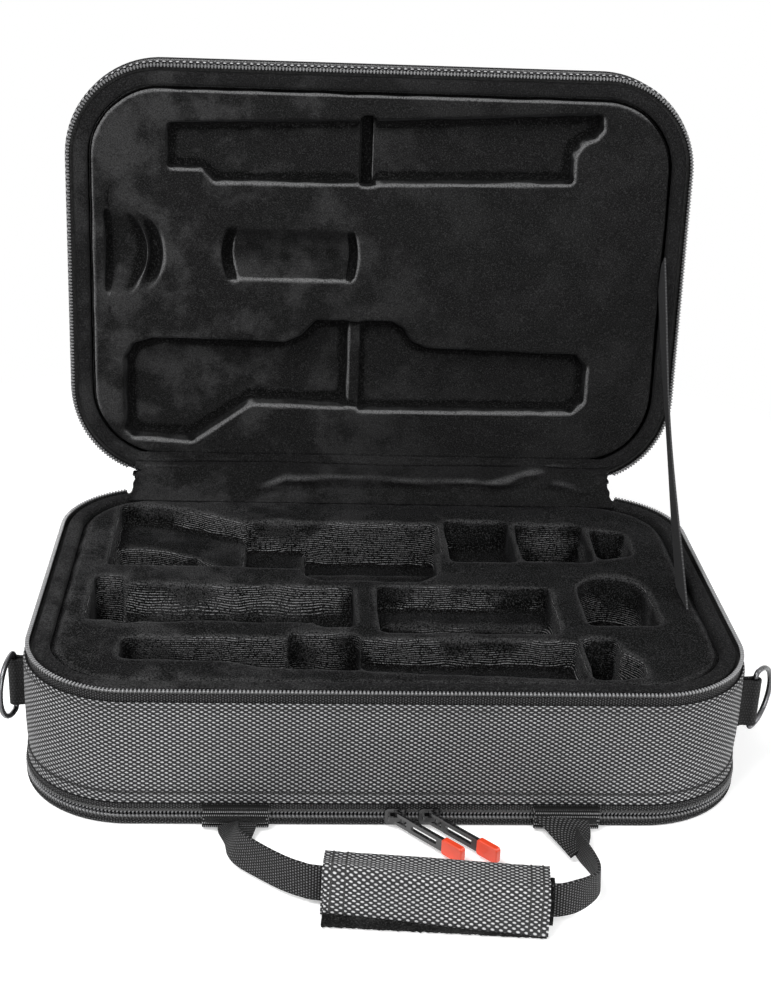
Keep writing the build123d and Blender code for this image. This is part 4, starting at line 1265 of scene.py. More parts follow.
# The ends of two troughs of the lid that are arcs on the real case: the trough's half length, where the bend
# comes in and goes out along X, each as a start and a width, and how far it is pushed, all in millimetres.
TROUGH_MIDDLE = -14
TROUGH_BENDS = (("crescent", 24, (-149, 10), (-106, -10), -10.0),
                ("slot's left end", 14, (-98, 8), (-74, -8), 3.4),
                ("slot's right end", 14, (-20, 5), (-4, -5), -2.6))


def ramp(value, start, width):
    """Goes from 0 to 1 as value leaves start by width, which may be negative."""
    return min(max((value - start) / width, 0.0), 1.0)


def carve(piece, low, high):
    """Cuts a box out of a piece."""
    cutter = block("cutter", low, high)
    add_modifier(piece, "BOOLEAN", operation="DIFFERENCE", object=cutter)
    apply_modifiers(piece)
    bpy.data.objects.remove(cutter)


def mark_painted_well_shade(piece):
    """Stores 1 on the floors of deep wells, where the plush gets painted shade."""
    top = max(vertex.co.z for vertex in piece.data.vertices)
    layer = piece.data.attributes.new("deep", "FLOAT", "POINT")
    for vertex in piece.data.vertices:
        depth = ramp(top - vertex.co.z, 8 * MM, 16 * MM)
        layer.data[vertex.index].value = depth * ramp(vertex.normal.z, 0.4, 0.4)


def bend_troughs(piece):
    """Bends the ends of the lid's two troughs into arcs, and softens the plush round the crescent."""
    soft = piece.vertex_groups.new(name="soft")
    for vertex in piece.data.vertices:
        x, y = vertex.co.x / MM, vertex.co.y / MM - TROUGH_MIDDLE
        if x > -2 or abs(y) > 42:
            continue
        for label, half, comes, goes, push in TROUGH_BENDS:
            share = ramp(x, *comes) * ramp(x, *goes) * ramp(abs(y) / half, 1.7, -0.5)
            vertex.co.x += push * MM * share * (y / half) ** 2
            if label == "crescent" and share > 0:
                soft.add([vertex.index], share, "REPLACE")
    add_modifier(piece, "SMOOTH", factor=0.5, iterations=24, vertex_group="soft")


# %% [markdown]
# The lid's insert is turned shut for the work on it, because its troughs are straight in that frame, and
# opened again at the end. The base is taken with coarser voxels than the lid, as its wells are rougher.

# %% Plush inserts


def plush_skin(name, node, lid, voxel, swell, rounds, reshape=None):
    """A copy of a solid insert under plush: remeshed, rounded, a little uneven, and marked for painted light
    and shade.
    """
    source = nodes[node]
    piece = source.copy()
    piece.data = source.data.copy()
    piece.parent = None
    for key in list(piece.keys()):
        del piece[key]
    scene.collection.objects.link(piece)
    piece.name = name
    piece.data.name = name
    if lid:
        piece.data.transform(LID_OPEN.inverted())
    outward_faces(piece)
    if lid:
        for low, high in LID_NOTCH:
            carve(piece, low, high)
    piece.data.remesh_voxel_size = voxel
    only(piece)
    bpy.ops.object.voxel_remesh()
    if reshape:
        reshape(piece)
    add_modifier(piece, "SMOOTH", factor=0.5, iterations=rounds)
    cloud = bpy.data.textures.new(name + " swell", "CLOUDS")
    cloud.noise_scale = 0.018
    cloud.noise_depth = 1
    add_modifier(piece, "DISPLACE", texture=cloud, texture_coords="LOCAL", strength=swell, mid_level=0.55)
    apply_modifiers(piece)
    # The lid's painted highlights keep to ridges that face left and, with the lid open, upwards, towards the
    # lamps.
    mark_ridges(piece, 7, (0.5 if lid else 0.9) * MM, (-0.55, -0.83, 0.0) if lid else None)
    if not lid:
        mark_painted_well_shade(piece)
    if lid:
        piece.data.transform(LID_OPEN)
    return piece


base_plush = plush_skin("base_plush_insert", "base_insert", False, 1.66 * MM, 1.6 * MM, 12)
dress(base_plush, plush, "base", "base_insert", smooth=80)
lid_insert_plush = plush_skin("lid_plush_insert", "lid_insert", True, 1.4 * MM, 1.0 * MM, 2, bend_troughs)
dress(lid_insert_plush, lid_plush, "lid", "lid_insert", smooth=80)
print("insert faces", len(base_plush.data.polygons), len(lid_insert_plush.data.polygons))

# %% [markdown]
# A wide strip of plush hides the hinge. It is sewn to both inserts and hangs slack between them, so it lies
# in long folds. A grid is bent to its line and its rows are pushed in and out by a few slow waves.

# %% Tools for cloth


def strip(name, width, path, across=120):
    """A grid whose short way follows a path of (y, z) points and whose long way lies along X."""
    clear_selection()
    rows = len(path)
    bpy.ops.mesh.primitive_grid_add(x_subdivisions=across, y_subdivisions=rows - 1, size=1)
    piece = named(name)
    run = [0.0]
    for first, second in zip(path, path[1:]):
        run.append(run[-1] + math.dist(first, second))
    places = {}
    for vertex in piece.data.vertices:
        row = round((vertex.co.y + 0.5) * (rows - 1))
        places[vertex.index] = (vertex.co.x * width, run[row])
        vertex.co = (vertex.co.x * width, path[row][0], path[row][1])
    lay_map(piece, places)
    return piece, run[-1]


def arc_path(start, pull, end, steps):
    """A bend from start to end that is drawn towards one point."""
    points = []
    for i in range(steps + 1):
        t = i / steps
        points.append(tuple((1 - t) ** 2 * a + 2 * t * (1 - t) * b + t * t * c
                            for a, b, c in zip(start, pull, end)))
    return points


def opened(y, z):
    """(y, z) of a point of the shut lid once the lid is open."""
    place = LID_OPEN @ Vector((0, y, z))
    return place.y, place.z


def hill(value, middle, width):
    """A smooth rise to 1 and back, round a middle."""
    return math.exp(-((value - middle) / width) ** 2)


def wave(x, y, z):
    """Slow noise between -1 and 1, the same at each run."""
    return noise.noise(Vector((x, y, z)))


# %% [markdown]
# On the left the slack lies in one long fold, and on the right it falls into a short slope each way. Under
# the lid's lip it is creased. The ends are drawn in, where the strip is sewn down.

# %% Inner gusset
GUSSET_W = 278 * MM
gusset_start = (99 * MM, PAD_HIGH - 1.5 * MM)
gusset_end = opened(101.5 * MM, mirrored(PAD_HIGH) + 2.0 * MM)
gusset_rise = gusset_end[1] - gusset_start[1]
gusset_pull = (111.5 * MM, 74 * MM)
gusset_line = arc_path(gusset_start, gusset_pull, gusset_end, 44)
gusset, gusset_length = strip("plush_gusset", GUSSET_W, gusset_line, across=200)
for vertex in gusset.data.vertices:
    x, y, z = vertex.co
    share = ramp(z, gusset_start[1], gusset_rise)
    slack = math.sin(math.pi * share) ** 0.7
    crest = 0.50 - 0.30 * ramp(x, -0.050, -0.020) + 0.05 * wave(14 * x, 1, 7)
    fold = 5.0 * hill(share, crest, 0.16) * ramp(x, -0.085, 0.03)
    fold *= ramp(x, 0.085, -0.03) * (0.85 + 0.5 * wave(11 * x, 4, 2))
    slope = 5.0 * hill(share, 0.55 + 11 * (x - 0.080), 0.14) * hill(x, 0.084, 0.022)
    slope += 3.4 * hill(share, 0.40 - 11 * (x - 0.112), 0.16) * hill(x, 0.112, 0.014)
    crease = -2.4 * hill(share, 0.76 + 0.04 * wave(9 * x, 5, 5), 0.035)
    drape = 3.4 * wave(12 * x, 2.4 * share, 0.5)
    pucker = 1.5 * wave(42 * x, 6 * share, 4)
    vertex.co.y -= slack * (fold + slope + drape + pucker + crease) * MM
    vertex.co.z += 0.5 * slack * (fold + slope) * MM
    end = ramp(abs(x), 0.130, 0.009)
    drawn_in = 3.0 * math.sin(math.pi * share) + 1.2 * wave(3, 9 * share, 1)
    vertex.co.x -= math.copysign(end * drawn_in * MM, x)
    vertex.co.y += end * 2.5 * MM * math.sin(math.pi * share)
add_modifier(gusset, "SOLIDIFY", thickness=1.2 * MM, offset=0)
add_modifier(gusset, "SUBSURF", levels=1, render_levels=1)
apply_modifiers(gusset)
outward_faces(gusset)
# The ridge marks give the folds a painted highlight on their crests and painted shade in their hollows.
mark_ridges(gusset, 34, 1.3 * MM)
# Near its seams the strip is in the shade of the lips, so its painted highlights and shade fade out there.
for vertex, mark in zip(gusset.data.vertices, gusset.data.attributes["painted_ridge_shading"].data):
    share = (vertex.co.z - gusset_start[1]) / gusset_rise
    mark.value *= ramp(min(share, 1 - share), 0.0, 0.12) * ramp(GUSSET_W / 2 - abs(vertex.co.x), 0.0, 0.008)
dress(gusset, gusset_plush, None, "inner_hinge_gusset", smooth=80)
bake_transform(gusset)
print("gusset", round(GUSSET_W, 4), "by", round(gusset_length, 4))

# %% [markdown]
# Outside, a second strip of cloth joins the two back walls. It is sewn to both covers and bends round the
# zip's plane between its seams, so it follows the shut line for a part and the opened one for the rest.

# %% Outer cloth hinge
BACK = DEPTH / 2
outer_line = ([(BACK + 0.8 * MM, COVER_HIGH - 12 * MM), (BACK + 0.9 * MM, COVER_HIGH - 2 * MM)]
              + arc_path((BACK + 0.9 * MM, ZIP_PLANE - 3 * MM), (BACK + 1.2 * MM, ZIP_PLANE + 1.5 * MM),
                         opened(BACK + 0.9 * MM, ZIP_PLANE + 4 * MM), 8)
              + [opened(BACK + 0.9 * MM, mirrored(COVER_HIGH) + 2 * MM),
                 opened(BACK + 0.8 * MM, mirrored(COVER_HIGH) + 12 * MM)])
outer_hinge, outer_length = strip("outer_hinge_cloth", 2 * FLAT_X, outer_line, across=60)
thicken(outer_hinge, 1.2 * MM)
dress(outer_hinge, tape_cloth, None, "outer_hinge_strip", smooth=60)
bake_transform(outer_hinge)


def hinge_row(name, z, body, lid=False):
    """A straight row of stitches along the back wall, over the outer hinge cloth."""
    pitch, margin = 3.2 * MM, 3 * MM
    row = stitch(2.3 * MM, 0.5 * MM)
    add_modifier(row, "ARRAY", use_relative_offset=False, use_constant_offset=True,
                 constant_offset_displace=(pitch, 0, 0), count=int(2 * (FLAT_X - margin) / pitch))
    apply_modifiers(row)
    row.name = row.data.name = name
    row.data.transform(Matrix.Translation((-FLAT_X + margin, BACK + 1.5 * MM, z)))
    if lid:
        row.data.transform(LID_OPEN)
    dress(row, thread, body, smooth=40)


hinge_row("hinge_seam_base", COVER_HIGH - 10 * MM, "base")
hinge_row("hinge_seam_lid", mirrored(COVER_HIGH) + 10 * MM, "lid", lid=True)

# %% [markdown]
# A third strip hinges the accessory compartment's cover, low on the back wall. It is swept round the case
# like the hem and cut off at both ends and in front, so that it fits the wall it is sewn to.

# %% Compartment hinge
back_strip_low, back_strip_high = (corner[2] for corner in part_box("bottom_hinge_strip"))
back_strip = sweep("compartment_hinge_cloth", rounded_section(0.3 * MM, 1.0 * MM, back_strip_low,
                                                             back_strip_high, 0.3 * MM, 2))
only(back_strip)
bpy.ops.object.mode_set(mode="EDIT")
for side in (-1, 1):
    bpy.ops.mesh.select_all(action="SELECT")
    bpy.ops.mesh.bisect(plane_co=(side * (LOWER_ZIP_END_X - 0.3 * MM), 0, 0), plane_no=(side, 0, 0),
                        clear_outer=True, use_fill=True)
bpy.ops.mesh.select_all(action="SELECT")
bpy.ops.mesh.bisect(plane_co=(0, 0, 0), plane_no=(0, -1, 0), clear_outer=True)
bpy.ops.object.mode_set(mode="OBJECT")
outward_faces(back_strip)
wall_map(back_strip)
dress(back_strip, tape_cloth, None, "bottom_hinge_strip", smooth=50)
back_length = 2 * (FLAT_X + CORNER * math.asin(min((LOWER_ZIP_END_X - FLAT_X) / CORNER, 1.0)))
print("flat sizes in mm: gusset", round(GUSSET_W / MM), round(gusset_length / MM), "outer hinge",
      round(2 * FLAT_X / MM), round(outer_length / MM), "compartment hinge", round(back_length / MM),
      round((back_strip_high - back_strip_low) / MM))
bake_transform(back_strip)

# %% [markdown]
# The stay strap is a flat ribbon from the base's right wall up to the lid. It is tight while the lid is
# open. It bows a little, turns slightly about its own line, and its lower end is tucked into the plush.

# %% Stay strap
STRAP_X = LENGTH / 2 - 13.2 * MM
STRAP_W = 17 * MM
STRAP_TUCK = 9 * MM
STRAP_BOW = -2.0 * MM
STRAP_TWIST = 7
strap_low = Vector((STRAP_X - 5.0 * MM, -14 * MM, PAD_HIGH - 3 * MM))
strap_high = LID_OPEN @ Vector((STRAP_X, -13 * MM, mirrored(PAD_HIGH - 3 * MM)))
strap_low -= (strap_high - strap_low).normalized() * STRAP_TUCK
strap_run = strap_high - strap_low
strap_side = Vector((0, strap_run.z, -strap_run.y)).normalized()
clear_selection()
bpy.ops.mesh.primitive_grid_add(x_subdivisions=60, y_subdivisions=6, size=1)
stay = named("stay_ribbon")
stay_places = {}
for vertex in stay.data.vertices:
    run, across = vertex.co.x + 0.5, vertex.co.y
    bow = STRAP_BOW * math.sin(math.pi * run)
    turn = math.radians(STRAP_TWIST * math.sin(math.pi * run) ** 3)
    width_way = strap_side * math.cos(turn) + Vector((math.sin(turn), 0, 0))
    stay_places[vertex.index] = (run * strap_run.length, across * STRAP_W)
    vertex.co = strap_low + strap_run * run + width_way * across * STRAP_W + Vector((bow, 0, 0))
lay_map(stay, stay_places)
thicken(stay, 0.9 * MM)
dress(stay, ribbon_cloth, None, "stay_strap", smooth=50)
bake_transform(stay)
print("stay strap", round(strap_run.length, 4), "long")

# %% [markdown]
# The handle is a loop of webbing that stands on its edge and runs through a wrapped grip. Its ends are
# folded to a point and sewn into two webbing patches under the hem. Its two long edges twist differently, so
# each is given as a row of points, and a grid is laid between them.

# %% Tools for webbing
handle_joint = next(j for j in frame["joints"] if j["name"] == "handle_swing")
AXIS_Y, AXIS_Z = handle_joint["pos_m"][1], handle_joint["pos_m"][2]
WEB_W = 18 * MM
WEB_T = 1.4 * MM
# Edges of the webbing, from the left patch round to the right one, in millimetres from the handle's axis:
# the lower edge, then the upper one. Near the patches it is folded narrow, and in the grip it runs straight.
WEB_EDGES = [
    ((-79, -1, -3.0), (-69.5, -1, -0.5)), ((-78.3, -5, -4), (-69.6, -8, 2.5)),
    ((-75, -13, -4), (-69.5, -16, 8)), ((-73.2, -22, -4), (-69, -24, 12.5)),
    ((-69, -29.3, -4), (-66.5, -30.2, 14)), ((-61, -36.8, -4), (-60, -37, 14)),
    ((-50, -45.8, -4), (-50.6, -45.2, 14)), ((-41, -51, -4), (-41.5, -51, 14)),
    ((-31, -53.9, -4), (-31, -54.2, 14)), ((10, -58.3, -4), (10, -58.3, 14)),
    ((45, -62.3, -4), (45, -62.3, 14)), ((62, -64.2, -4), (62, -65, 14)),
    ((70, -64.4, -4), (69, -66.2, 14)), ((77.5, -61.9, -4), (77, -63, 13.7)),
    ((84.5, -56.3, -4), (82.5, -59.5, 13)), ((89.5, -49.5, -4), (87.4, -54.5, 12)),
    ((90.8, -42, -4), (88.9, -47.5, 11.2)), ((88.5, -33, -4), (88.6, -39, 9.8)),
    ((85.2, -25, -3.8), (88, -28, 7)), ((82.5, -14, -3.6), (87.2, -15, 3.6)), ((80.5, -1, -3), (87, -1, -0.5))]
RIGHT_FOLD = [((67.5, 0.4, 2.4), (92, -2.5, 2.0)), ((72, -8, 0.5), (92.5, -7.5, 1.2)),
              ((77.2, -17, -1.5), (91.5, -14.5, 1.5)), ((81.2, -24.5, -3), (89.8, -20, 1.5))]
LEFT_FOLD = [((-72, -0.5, -1), (-60.5, -0.5, -1)), ((-68, -5, -3), (-62, -4.5, -3)),
             ((-65, -8.5, -4), (-63.2, -8.5, -4))]


def through(points, at):
    """A place on a smooth line through points, where at counts the points passed."""
    last = len(points) - 1
    i = min(int(at), last - 1)
    t = at - i
    a, b, c, d = (points[min(max(k, 0), last)] for k in (i - 1, i, i + 1, i + 2))
    bend = (2 * a - 5 * b + 4 * c - d) * t ** 2
    return 0.5 * ((2 * b) + (c - a) * t + bend + (3 * b - a - 3 * c + d) * t ** 3)


def rail_ribbon(name, rails, thick, across=6, fine=8):
    """Webbing between two drawn edges. A grid is laid between smooth lines through the edges' points."""
    lows = [Vector((x * MM, AXIS_Y + y * MM, AXIS_Z + z * MM)) for (x, y, z), _ in rails]
    highs = [Vector((x * MM, AXIS_Y + y * MM, AXIS_Z + z * MM)) for _, (x, y, z) in rails]
    count = fine * (len(rails) - 1)
    clear_selection()
    bpy.ops.mesh.primitive_grid_add(x_subdivisions=count, y_subdivisions=across, size=1)
    piece = named(name)
    runs, middle = [0.0], (lows[0] + highs[0]) / 2
    for i in range(1, count + 1):
        spot = (through(lows, i / fine) + through(highs, i / fine)) / 2
        runs.append(runs[-1] + (spot - middle).length)
        middle = spot
    places = {}
    for vertex in piece.data.vertices:
        i, share = round((vertex.co.x + 0.5) * count), vertex.co.y + 0.5
        places[vertex.index] = (runs[i], share * WEB_W)
        vertex.co = through(lows, i / fine).lerp(through(highs, i / fine), share)
    lay_map(piece, places)
    thicken(piece, thick, 0.35 * MM)
    return piece


# %% [markdown]
# Each end of the webbing is folded over once more before it is sewn, which leaves a pointed flap in front of
# its patch. The webbing turns about a short roll inside each patch, and both rolls lie on the handle's axis.

# %% Handle webbing
handle_web = rail_ribbon("handle_webbing", WEB_EDGES, WEB_T)
right_fold = rail_ribbon("right_fold", RIGHT_FOLD, 1.2 * MM)
left_fold = rail_ribbon("left_fold", LEFT_FOLD, 1.2 * MM)
knuckles = []
for x in (-71 * MM, 83 * MM):
    roll = round_bar("knuckle", 1.5 * MM, 27.6 * MM, (x, AXIS_Y, AXIS_Z), 24)
    soften(roll, 0.4 * MM)
    knuckles.append(roll)
handle_web = joined("handle_webbing", [handle_web, right_fold, left_fold] + knuckles)
dress(handle_web, webbing, "handle", "handle_strap", smooth=50)
print("handle webbing faces", len(handle_web.data.polygons))

# %% [markdown]
# The grip is the woven cloth of the cover wrapped round a foam sleeve. It is made in a frame of its own,
# lying along X, because every piece of it is a block that is rounded, swollen and leaned in the same way.

# %% Tools for the grip
GRIP_L, GRIP_D, GRIP_H = 97 * MM, 20 * MM, 23 * MM
GRIP_ROUND = 4.5 * MM
GRIP_TURN = math.atan2(-65.3 + 52.7, 71 + 38)
GRIP_PLACE = (Matrix.Translation((16.5 * MM, AXIS_Y - 59.0 * MM, AXIS_Z + 5.3 * MM))
              @ Matrix.Rotation(GRIP_TURN, 4, "Z"))


def grip_block(name, size, at, round_edge, cuts, puff):
    """A rounded block along X with a soft swell, made in the grip's own frame."""
    clear_selection()
    bpy.ops.mesh.primitive_cube_add(size=1, scale=size, location=at)
    piece = named(name)
    freeze(piece)
    if not piece.data.uv_layers:
        piece.data.uv_layers.new(name="wall")
    deselect_mesh(piece)
    bpy.context.tool_settings.mesh_select_mode = (False, True, False)
    for edge in piece.data.edges:
        ends = [piece.data.vertices[i].co for i in edge.vertices]
        edge.select = abs(ends[0].x - ends[1].x) > size[0] / 2
    bpy.ops.object.mode_set(mode="EDIT")
    bpy.ops.mesh.select_mode(type="EDGE")
    bpy.ops.mesh.bevel(offset=round_edge, segments=6, affect="EDGES")
    bpy.ops.mesh.select_mode(type="VERT")
    for i in range(1, cuts):
        bpy.ops.mesh.select_all(action="SELECT")
        bpy.ops.mesh.bisect(plane_co=(at[0] - size[0] / 2 + size[0] * i / cuts, 0, 0), plane_no=(1, 0, 0))
    for axis, count in ((1, 5), (2, 6)):
        for i in range(1, count):
            spot = [0, 0, 0]
            spot[axis] = at[axis] - size[axis] / 2 + size[axis] * i / count
            normal = [0, 0, 0]
            normal[axis] = 1
            bpy.ops.mesh.select_all(action="SELECT")
            bpy.ops.mesh.bisect(plane_co=spot, plane_no=normal)
    bpy.ops.object.mode_set(mode="OBJECT")
    for vertex in piece.data.vertices:
        share = abs(vertex.co.x - at[0]) / (size[0] / 2)
        dent = -0.9 * hill(share, 0.83, 0.03) - 0.9 * hill(share, 0.69, 0.03)
        x, y, z = vertex.co
        swell = puff * (0.4 + dent * 0.6) + 0.3 * MM * wave(30 * x, 90 * y, 90 * z)
        away = Vector((0, y - at[1], z - at[2]))
        if away.length > 0:
            vertex.co += away.normalized() * swell
    return piece


# %% [markdown]
# The wrap was closed askew: its front leans back towards the left, and the flap's edge hangs out towards the
# right. Both are small shifts that grow along the grip, made before it is put in its place.

# %% Lean, droop and map of the grip


def lean_front(piece):
    """Twists the front of the grip: towards its left end the front leans back, as the wrap was closed askew."""
    for vertex in piece.data.vertices:
        x, y, z = vertex.co
        left, high = ramp(x, 26 * MM, -72 * MM), ramp(z, -5 * MM, 16 * MM)
        vertex.co.y += 8.0 * MM * left * high * ramp(-y, 0.0, GRIP_D / 2)


def droop(piece):
    """Lets the flap's lower edge hang out and down towards its right end, where it was closed less tightly."""
    for vertex in piece.data.vertices:
        x, y, z = vertex.co
        share = ramp(x, -GRIP_L / 2, GRIP_L) * ramp(z, 4 * MM, -12 * MM)
        vertex.co.y -= 3.0 * MM * share
        vertex.co.z -= 1.9 * MM * share


def set_in_grip(piece, droops=False):
    """Leans a piece as the grip leans and puts it in the grip's place."""
    lean_front(piece)
    if droops:
        droop(piece)
    piece.data.transform(GRIP_PLACE)


def grip_map(piece):
    """Surface map round the grip: along X, and round its section by angle."""
    layer = piece.data.uv_layers.active or piece.data.uv_layers.new(name="wall")
    girth = 2 * (GRIP_D + GRIP_H) - 8 * GRIP_ROUND + 2 * math.pi * GRIP_ROUND
    for face in piece.data.polygons:
        middle = math.atan2(face.center.z, -face.center.y)
        for loop in face.loop_indices:
            spot = piece.data.vertices[piece.data.loops[loop].vertex_index].co
            turn = math.atan2(spot.z, -spot.y)
            if abs(turn - middle) > math.pi:
                turn += math.copysign(2 * math.pi, middle)
            layer.data[loop].uv = (spot.x, turn / (2 * math.pi) * girth)
    layer.active_render = True


# %% [markdown]
# The wrap is one block with two shallow grooves near each end, where rows of stitches hold it to the foam.
# At its ends it shows the raw side of the cloth, which takes the dark finish as a second slot.

# %% Grip wrap
GRIP_SEAMS = (-44.6 * MM, -38.5 * MM, 40.5 * MM, 45.6 * MM)
wrap = grip_block("grip_wrap_cloth", (GRIP_L, GRIP_D, GRIP_H), (0, 0, 0), GRIP_ROUND, 48, 0.35 * MM)
grip_map(wrap)
set_in_grip(wrap)
dress(wrap, grip_woven, "handle", "grip_wrap", smooth=50)
wrap.data.materials.append(fuzz_strip)
along_grip = GRIP_PLACE.to_3x3() @ Vector((1, 0, 0))
for face in wrap.data.polygons:
    if abs(face.normal.dot(along_grip)) > 0.8:
        face.material_index = 1
foam = grip_block("grip_foam", (GRIP_L + 1.5 * MM, GRIP_D - 5 * MM, GRIP_H - 5 * MM), (1.6 * MM, 0, -1.5 * MM),
                  4 * MM, 8, 0.0)
set_in_grip(foam)
dress(foam, fuzz_strip, "handle", "grip_pad", smooth=50)
wrap_seams = [grip_block("wrap_seam", (0.8 * MM, GRIP_D + 0.5 * MM, GRIP_H + 0.5 * MM), (x, 0, 0),
                         4.6 * MM, 2, 0.0) for x in GRIP_SEAMS]
wrap_seam = joined("grip_wrap_seams", wrap_seams)
set_in_grip(wrap_seam)
dress(wrap_seam, thread, "handle", smooth=50)
print("grip", round(GRIP_L, 4), "long, turned by", round(math.degrees(GRIP_TURN), 1), "degrees")

# %% [markdown]
# The front of the wrap is a flap that turns about its upper edge. It is a thin block with the same stitches
# over it, and both droop a little towards the right, where the flap was closed less tightly.

# %% Grip flap
flap_top, flap_bottom = GRIP_H / 2 - 4.6 * MM, -GRIP_H / 2 + 3.2 * MM
flap_y = -GRIP_D / 2 + 0.2 * MM
flap = grip_block("grip_flap_cloth", (GRIP_L - 1.0 * MM, 1.9 * MM, flap_top - flap_bottom),
                  (0.9 * MM, flap_y, (flap_top + flap_bottom) / 2), 0.8 * MM, 48, 0.0)
grip_map(flap)
set_in_grip(flap, droops=True)
dress(flap, grip_woven, "grip_flap", "grip_flap", smooth=50)
flap_seams = [grip_block("flap_seam", (0.8 * MM, 2.3 * MM, flap_top - flap_bottom - 0.6 * MM),
                         (x, flap_y, (flap_top + flap_bottom) / 2), 0.8 * MM, 2, 0.0) for x in GRIP_SEAMS]
flap_seam = joined("grip_flap_seams", flap_seams)
set_in_grip(flap_seam, droops=True)
dress(flap_seam, thread, "grip_flap", smooth=50)
print("flap from", round(flap_bottom, 4), "to", round(flap_top, 4), "in the grip's frame")

# %% [markdown]
# Below the flap a strip of hook and loop sticks out, wider on the left, with a ragged edge. A grid is drawn
# forwards and down row by row.

# %% Hook strip
clear_selection()
bpy.ops.mesh.primitive_grid_add(x_subdivisions=120, y_subdivisions=8, size=1)
fuzz = named("grip_hook_strip")
for vertex in fuzz.data.vertices:
    ragged = wave(60 * vertex.co.x, 3, 0)
    shown = 8.0 - 3.2 * (vertex.co.x + 0.5) + 0.8 * ragged
    reach = 0.5 - vertex.co.y
    drop = min(1.0, reach / 0.55)
    x = vertex.co.x * (GRIP_L - 1 * MM) + 0.5 * MM
    y = -GRIP_D / 2 + 1.5 * MM - reach * shown * MM
    z = -GRIP_H / 2 + (3.6 - 2.4 * drop) * MM + 0.4 * MM * wave(60 * vertex.co.x, 4 * vertex.co.y, 1)
    vertex.co = (x, y, z)
thicken(fuzz, 1.3 * MM, 0.4 * MM)
fuzz.data.transform(GRIP_PLACE)
dress(fuzz, fuzz_strip, "handle", smooth=60)
print("hook strip faces", len(fuzz.data.polygons))

# %% [markdown]
# The handle's patches are webbing doubled and sewn down, so each has a row of plump ribs over a flat block.
# Its two outer loops, in which the handle turns, are short rings round the handle's axis.

# %% Handle patches


def face_map(piece, along, across, start=0.0):
    """Surface map from two of the axes."""
    layer = piece.data.uv_layers.active or piece.data.uv_layers.new(name="flat")
    for loop in piece.data.loops:
        spot = piece.data.vertices[loop.vertex_index].co
        layer.data[loop.index].uv = (spot[along], spot[across] - start)
    layer.active_render = True


def loop_roll(x, width):
    """A ring of webbing round the handle's axis, from x on: a bar with its ends bored through."""
    roll = round_bar("roll", 2.85 * MM, width, (x + width / 2, AXIS_Y, AXIS_Z), 28)
    deselect_mesh(roll)
    for face in roll.data.polygons:
        face.select = abs(face.normal.x) > 0.9
    bpy.ops.object.mode_set(mode="EDIT")
    bpy.ops.mesh.inset(thickness=1.1 * MM)
    bpy.ops.mesh.bridge_edge_loops()
    bpy.ops.object.mode_set(mode="OBJECT")
    soften(roll, 0.4 * MM)
    outward_faces(roll)
    return roll


RIB_PITCH = 1.95 * MM
for side in ("left", "right"):
    low, high = (Vector(corner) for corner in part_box(f"handle_anchor_{side}"))
    back_y = -(DEPTH / 2 + 3.1 * MM)
    middle_x = (low.x + high.x) / 2
    patch = block("patch", (low.x, back_y - 1.5 * MM, low.z), (high.x, back_y, high.z - 0.6 * MM))
    soften(patch, 0.5 * MM, 3)
    root = block("root", (low.x, back_y - 0.4 * MM, HEM_LOW - 2.3 * MM), (high.x, high.y, HEM_LOW - 0.1 * MM))
    soften(root, 0.3 * MM, 3)
    rolls = [round_bar("rib", 0.92 * MM, high.x - low.x - 0.6 * MM,
                       (middle_x, back_y - 1.75 * MM, low.z + 1.2 * MM + i * RIB_PITCH), 16) for i in range(5)]
    rolls += [loop_roll(x, 5 * MM) for x in (low.x, high.x - 5 * MM)]
    anchor = joined(f"handle_patch_{side}", [patch, root] + rolls)
    face_map(anchor, 0, 2, low.z + 1.2 * MM - 0.98 * MM)
    dress(anchor, patch_webbing, "base", f"handle_anchor_{side}", smooth=50)
    print(anchor.name, "faces", len(anchor.data.polygons))

# %% [markdown]
# A D-ring hangs in a tab of webbing that is sewn to the wall and loops once round the ring. The tab is a
# ribbon on its edge: a smooth line round the ring's bar with the ribbon's width pulled up out of it.

# %% Tabs of the D-rings
TAB_Z = 41 * MM
TAB_W = 25 * MM
RING_X = LENGTH / 2 + 7 * MM
LOOP_R = 2.5 * MM


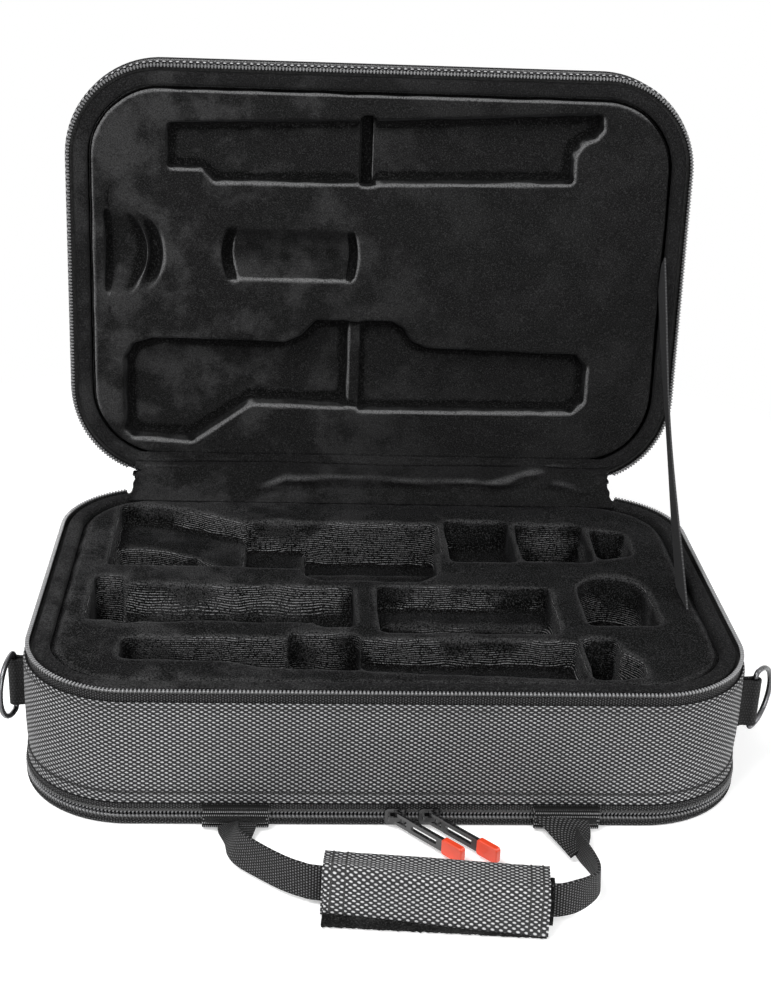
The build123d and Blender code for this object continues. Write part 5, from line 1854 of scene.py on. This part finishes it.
def cloth_ribbon(name, points, width):
    """A ribbon on its edge along a smooth line through points."""
    curve = bpy.data.curves.new(name, "CURVE")
    curve.dimensions = "3D"
    curve.resolution_u = 10
    spline = curve.splines.new("NURBS")
    spline.points.add(len(points) - 1)
    for point, (x, y, z) in zip(spline.points, points):
        point.co = (x, y, z, 1)
    spline.order_u = 3
    spline.use_endpoint_u = True
    curve.extrude = width / 2
    line = bpy.data.objects.new(name, curve)
    scene.collection.objects.link(line)
    only(line)
    bpy.ops.object.convert(target="MESH")
    piece = named(name)
    bpy.ops.object.mode_set(mode="EDIT")
    bpy.ops.mesh.select_all(action="SELECT")
    bpy.ops.mesh.remove_doubles(threshold=0.00002)
    bpy.ops.object.mode_set(mode="OBJECT")
    return piece


def map_ribbon(piece, points, middle_z):
    """Surface map of a ribbon: distance along its line, and height across it."""
    layer = piece.data.uv_layers.active or piece.data.uv_layers.new(name="ribbon")
    line = [Vector((x, y, 0)) for x, y, _ in points]
    runs = [0.0]
    for first, second in zip(line, line[1:]):
        runs.append(runs[-1] + (second - first).length)

    def run_of(spot):
        best = (1e9, 0.0)
        for i, (first, second) in enumerate(zip(line, line[1:])):
            step = second - first
            share = ramp((spot - first).dot(step) / step.length_squared, 0.0, 1.0)
            gap = (first + step * share - spot).length
            best = min(best, (gap, runs[i] + share * step.length))
        return best[1]

    for loop in piece.data.loops:
        spot = piece.data.vertices[loop.vertex_index].co
        layer.data[loop.index].uv = (run_of(Vector((spot.x, spot.y, 0))), spot.z - middle_z)


for side, sign in (("left", -1), ("right", 1)):
    wall = LENGTH / 2 + 0.3 * MM
    tab_y = next(j for j in frame["joints"] if j["name"] == f"ring_{side}_swing")["pos_m"][1]
    path = [(wall, tab_y + 15 * MM), (wall, tab_y + 4 * MM), (wall + 1 * MM, tab_y + 1.6 * MM)]
    for i in range(15):
        turn = math.radians(125 - 250 * i / 14)
        path.append((RING_X + LOOP_R * math.cos(turn), tab_y + LOOP_R * math.sin(turn)))
    path += [(wall + 1 * MM, tab_y - 1.4 * MM), (wall, tab_y - 3 * MM)]
    line = [(sign * x, y, TAB_Z) for x, y in path]
    tab = cloth_ribbon(f"ring_tab_cloth_{side}", line, TAB_W)
    map_ribbon(tab, line, TAB_Z)
    thicken(tab, 1.3 * MM, 0.3 * MM)
    dress(tab, ring_webbing, "base", f"ring_tab_{side}", smooth=50)
    print(tab.name, "faces", len(tab.data.polygons))
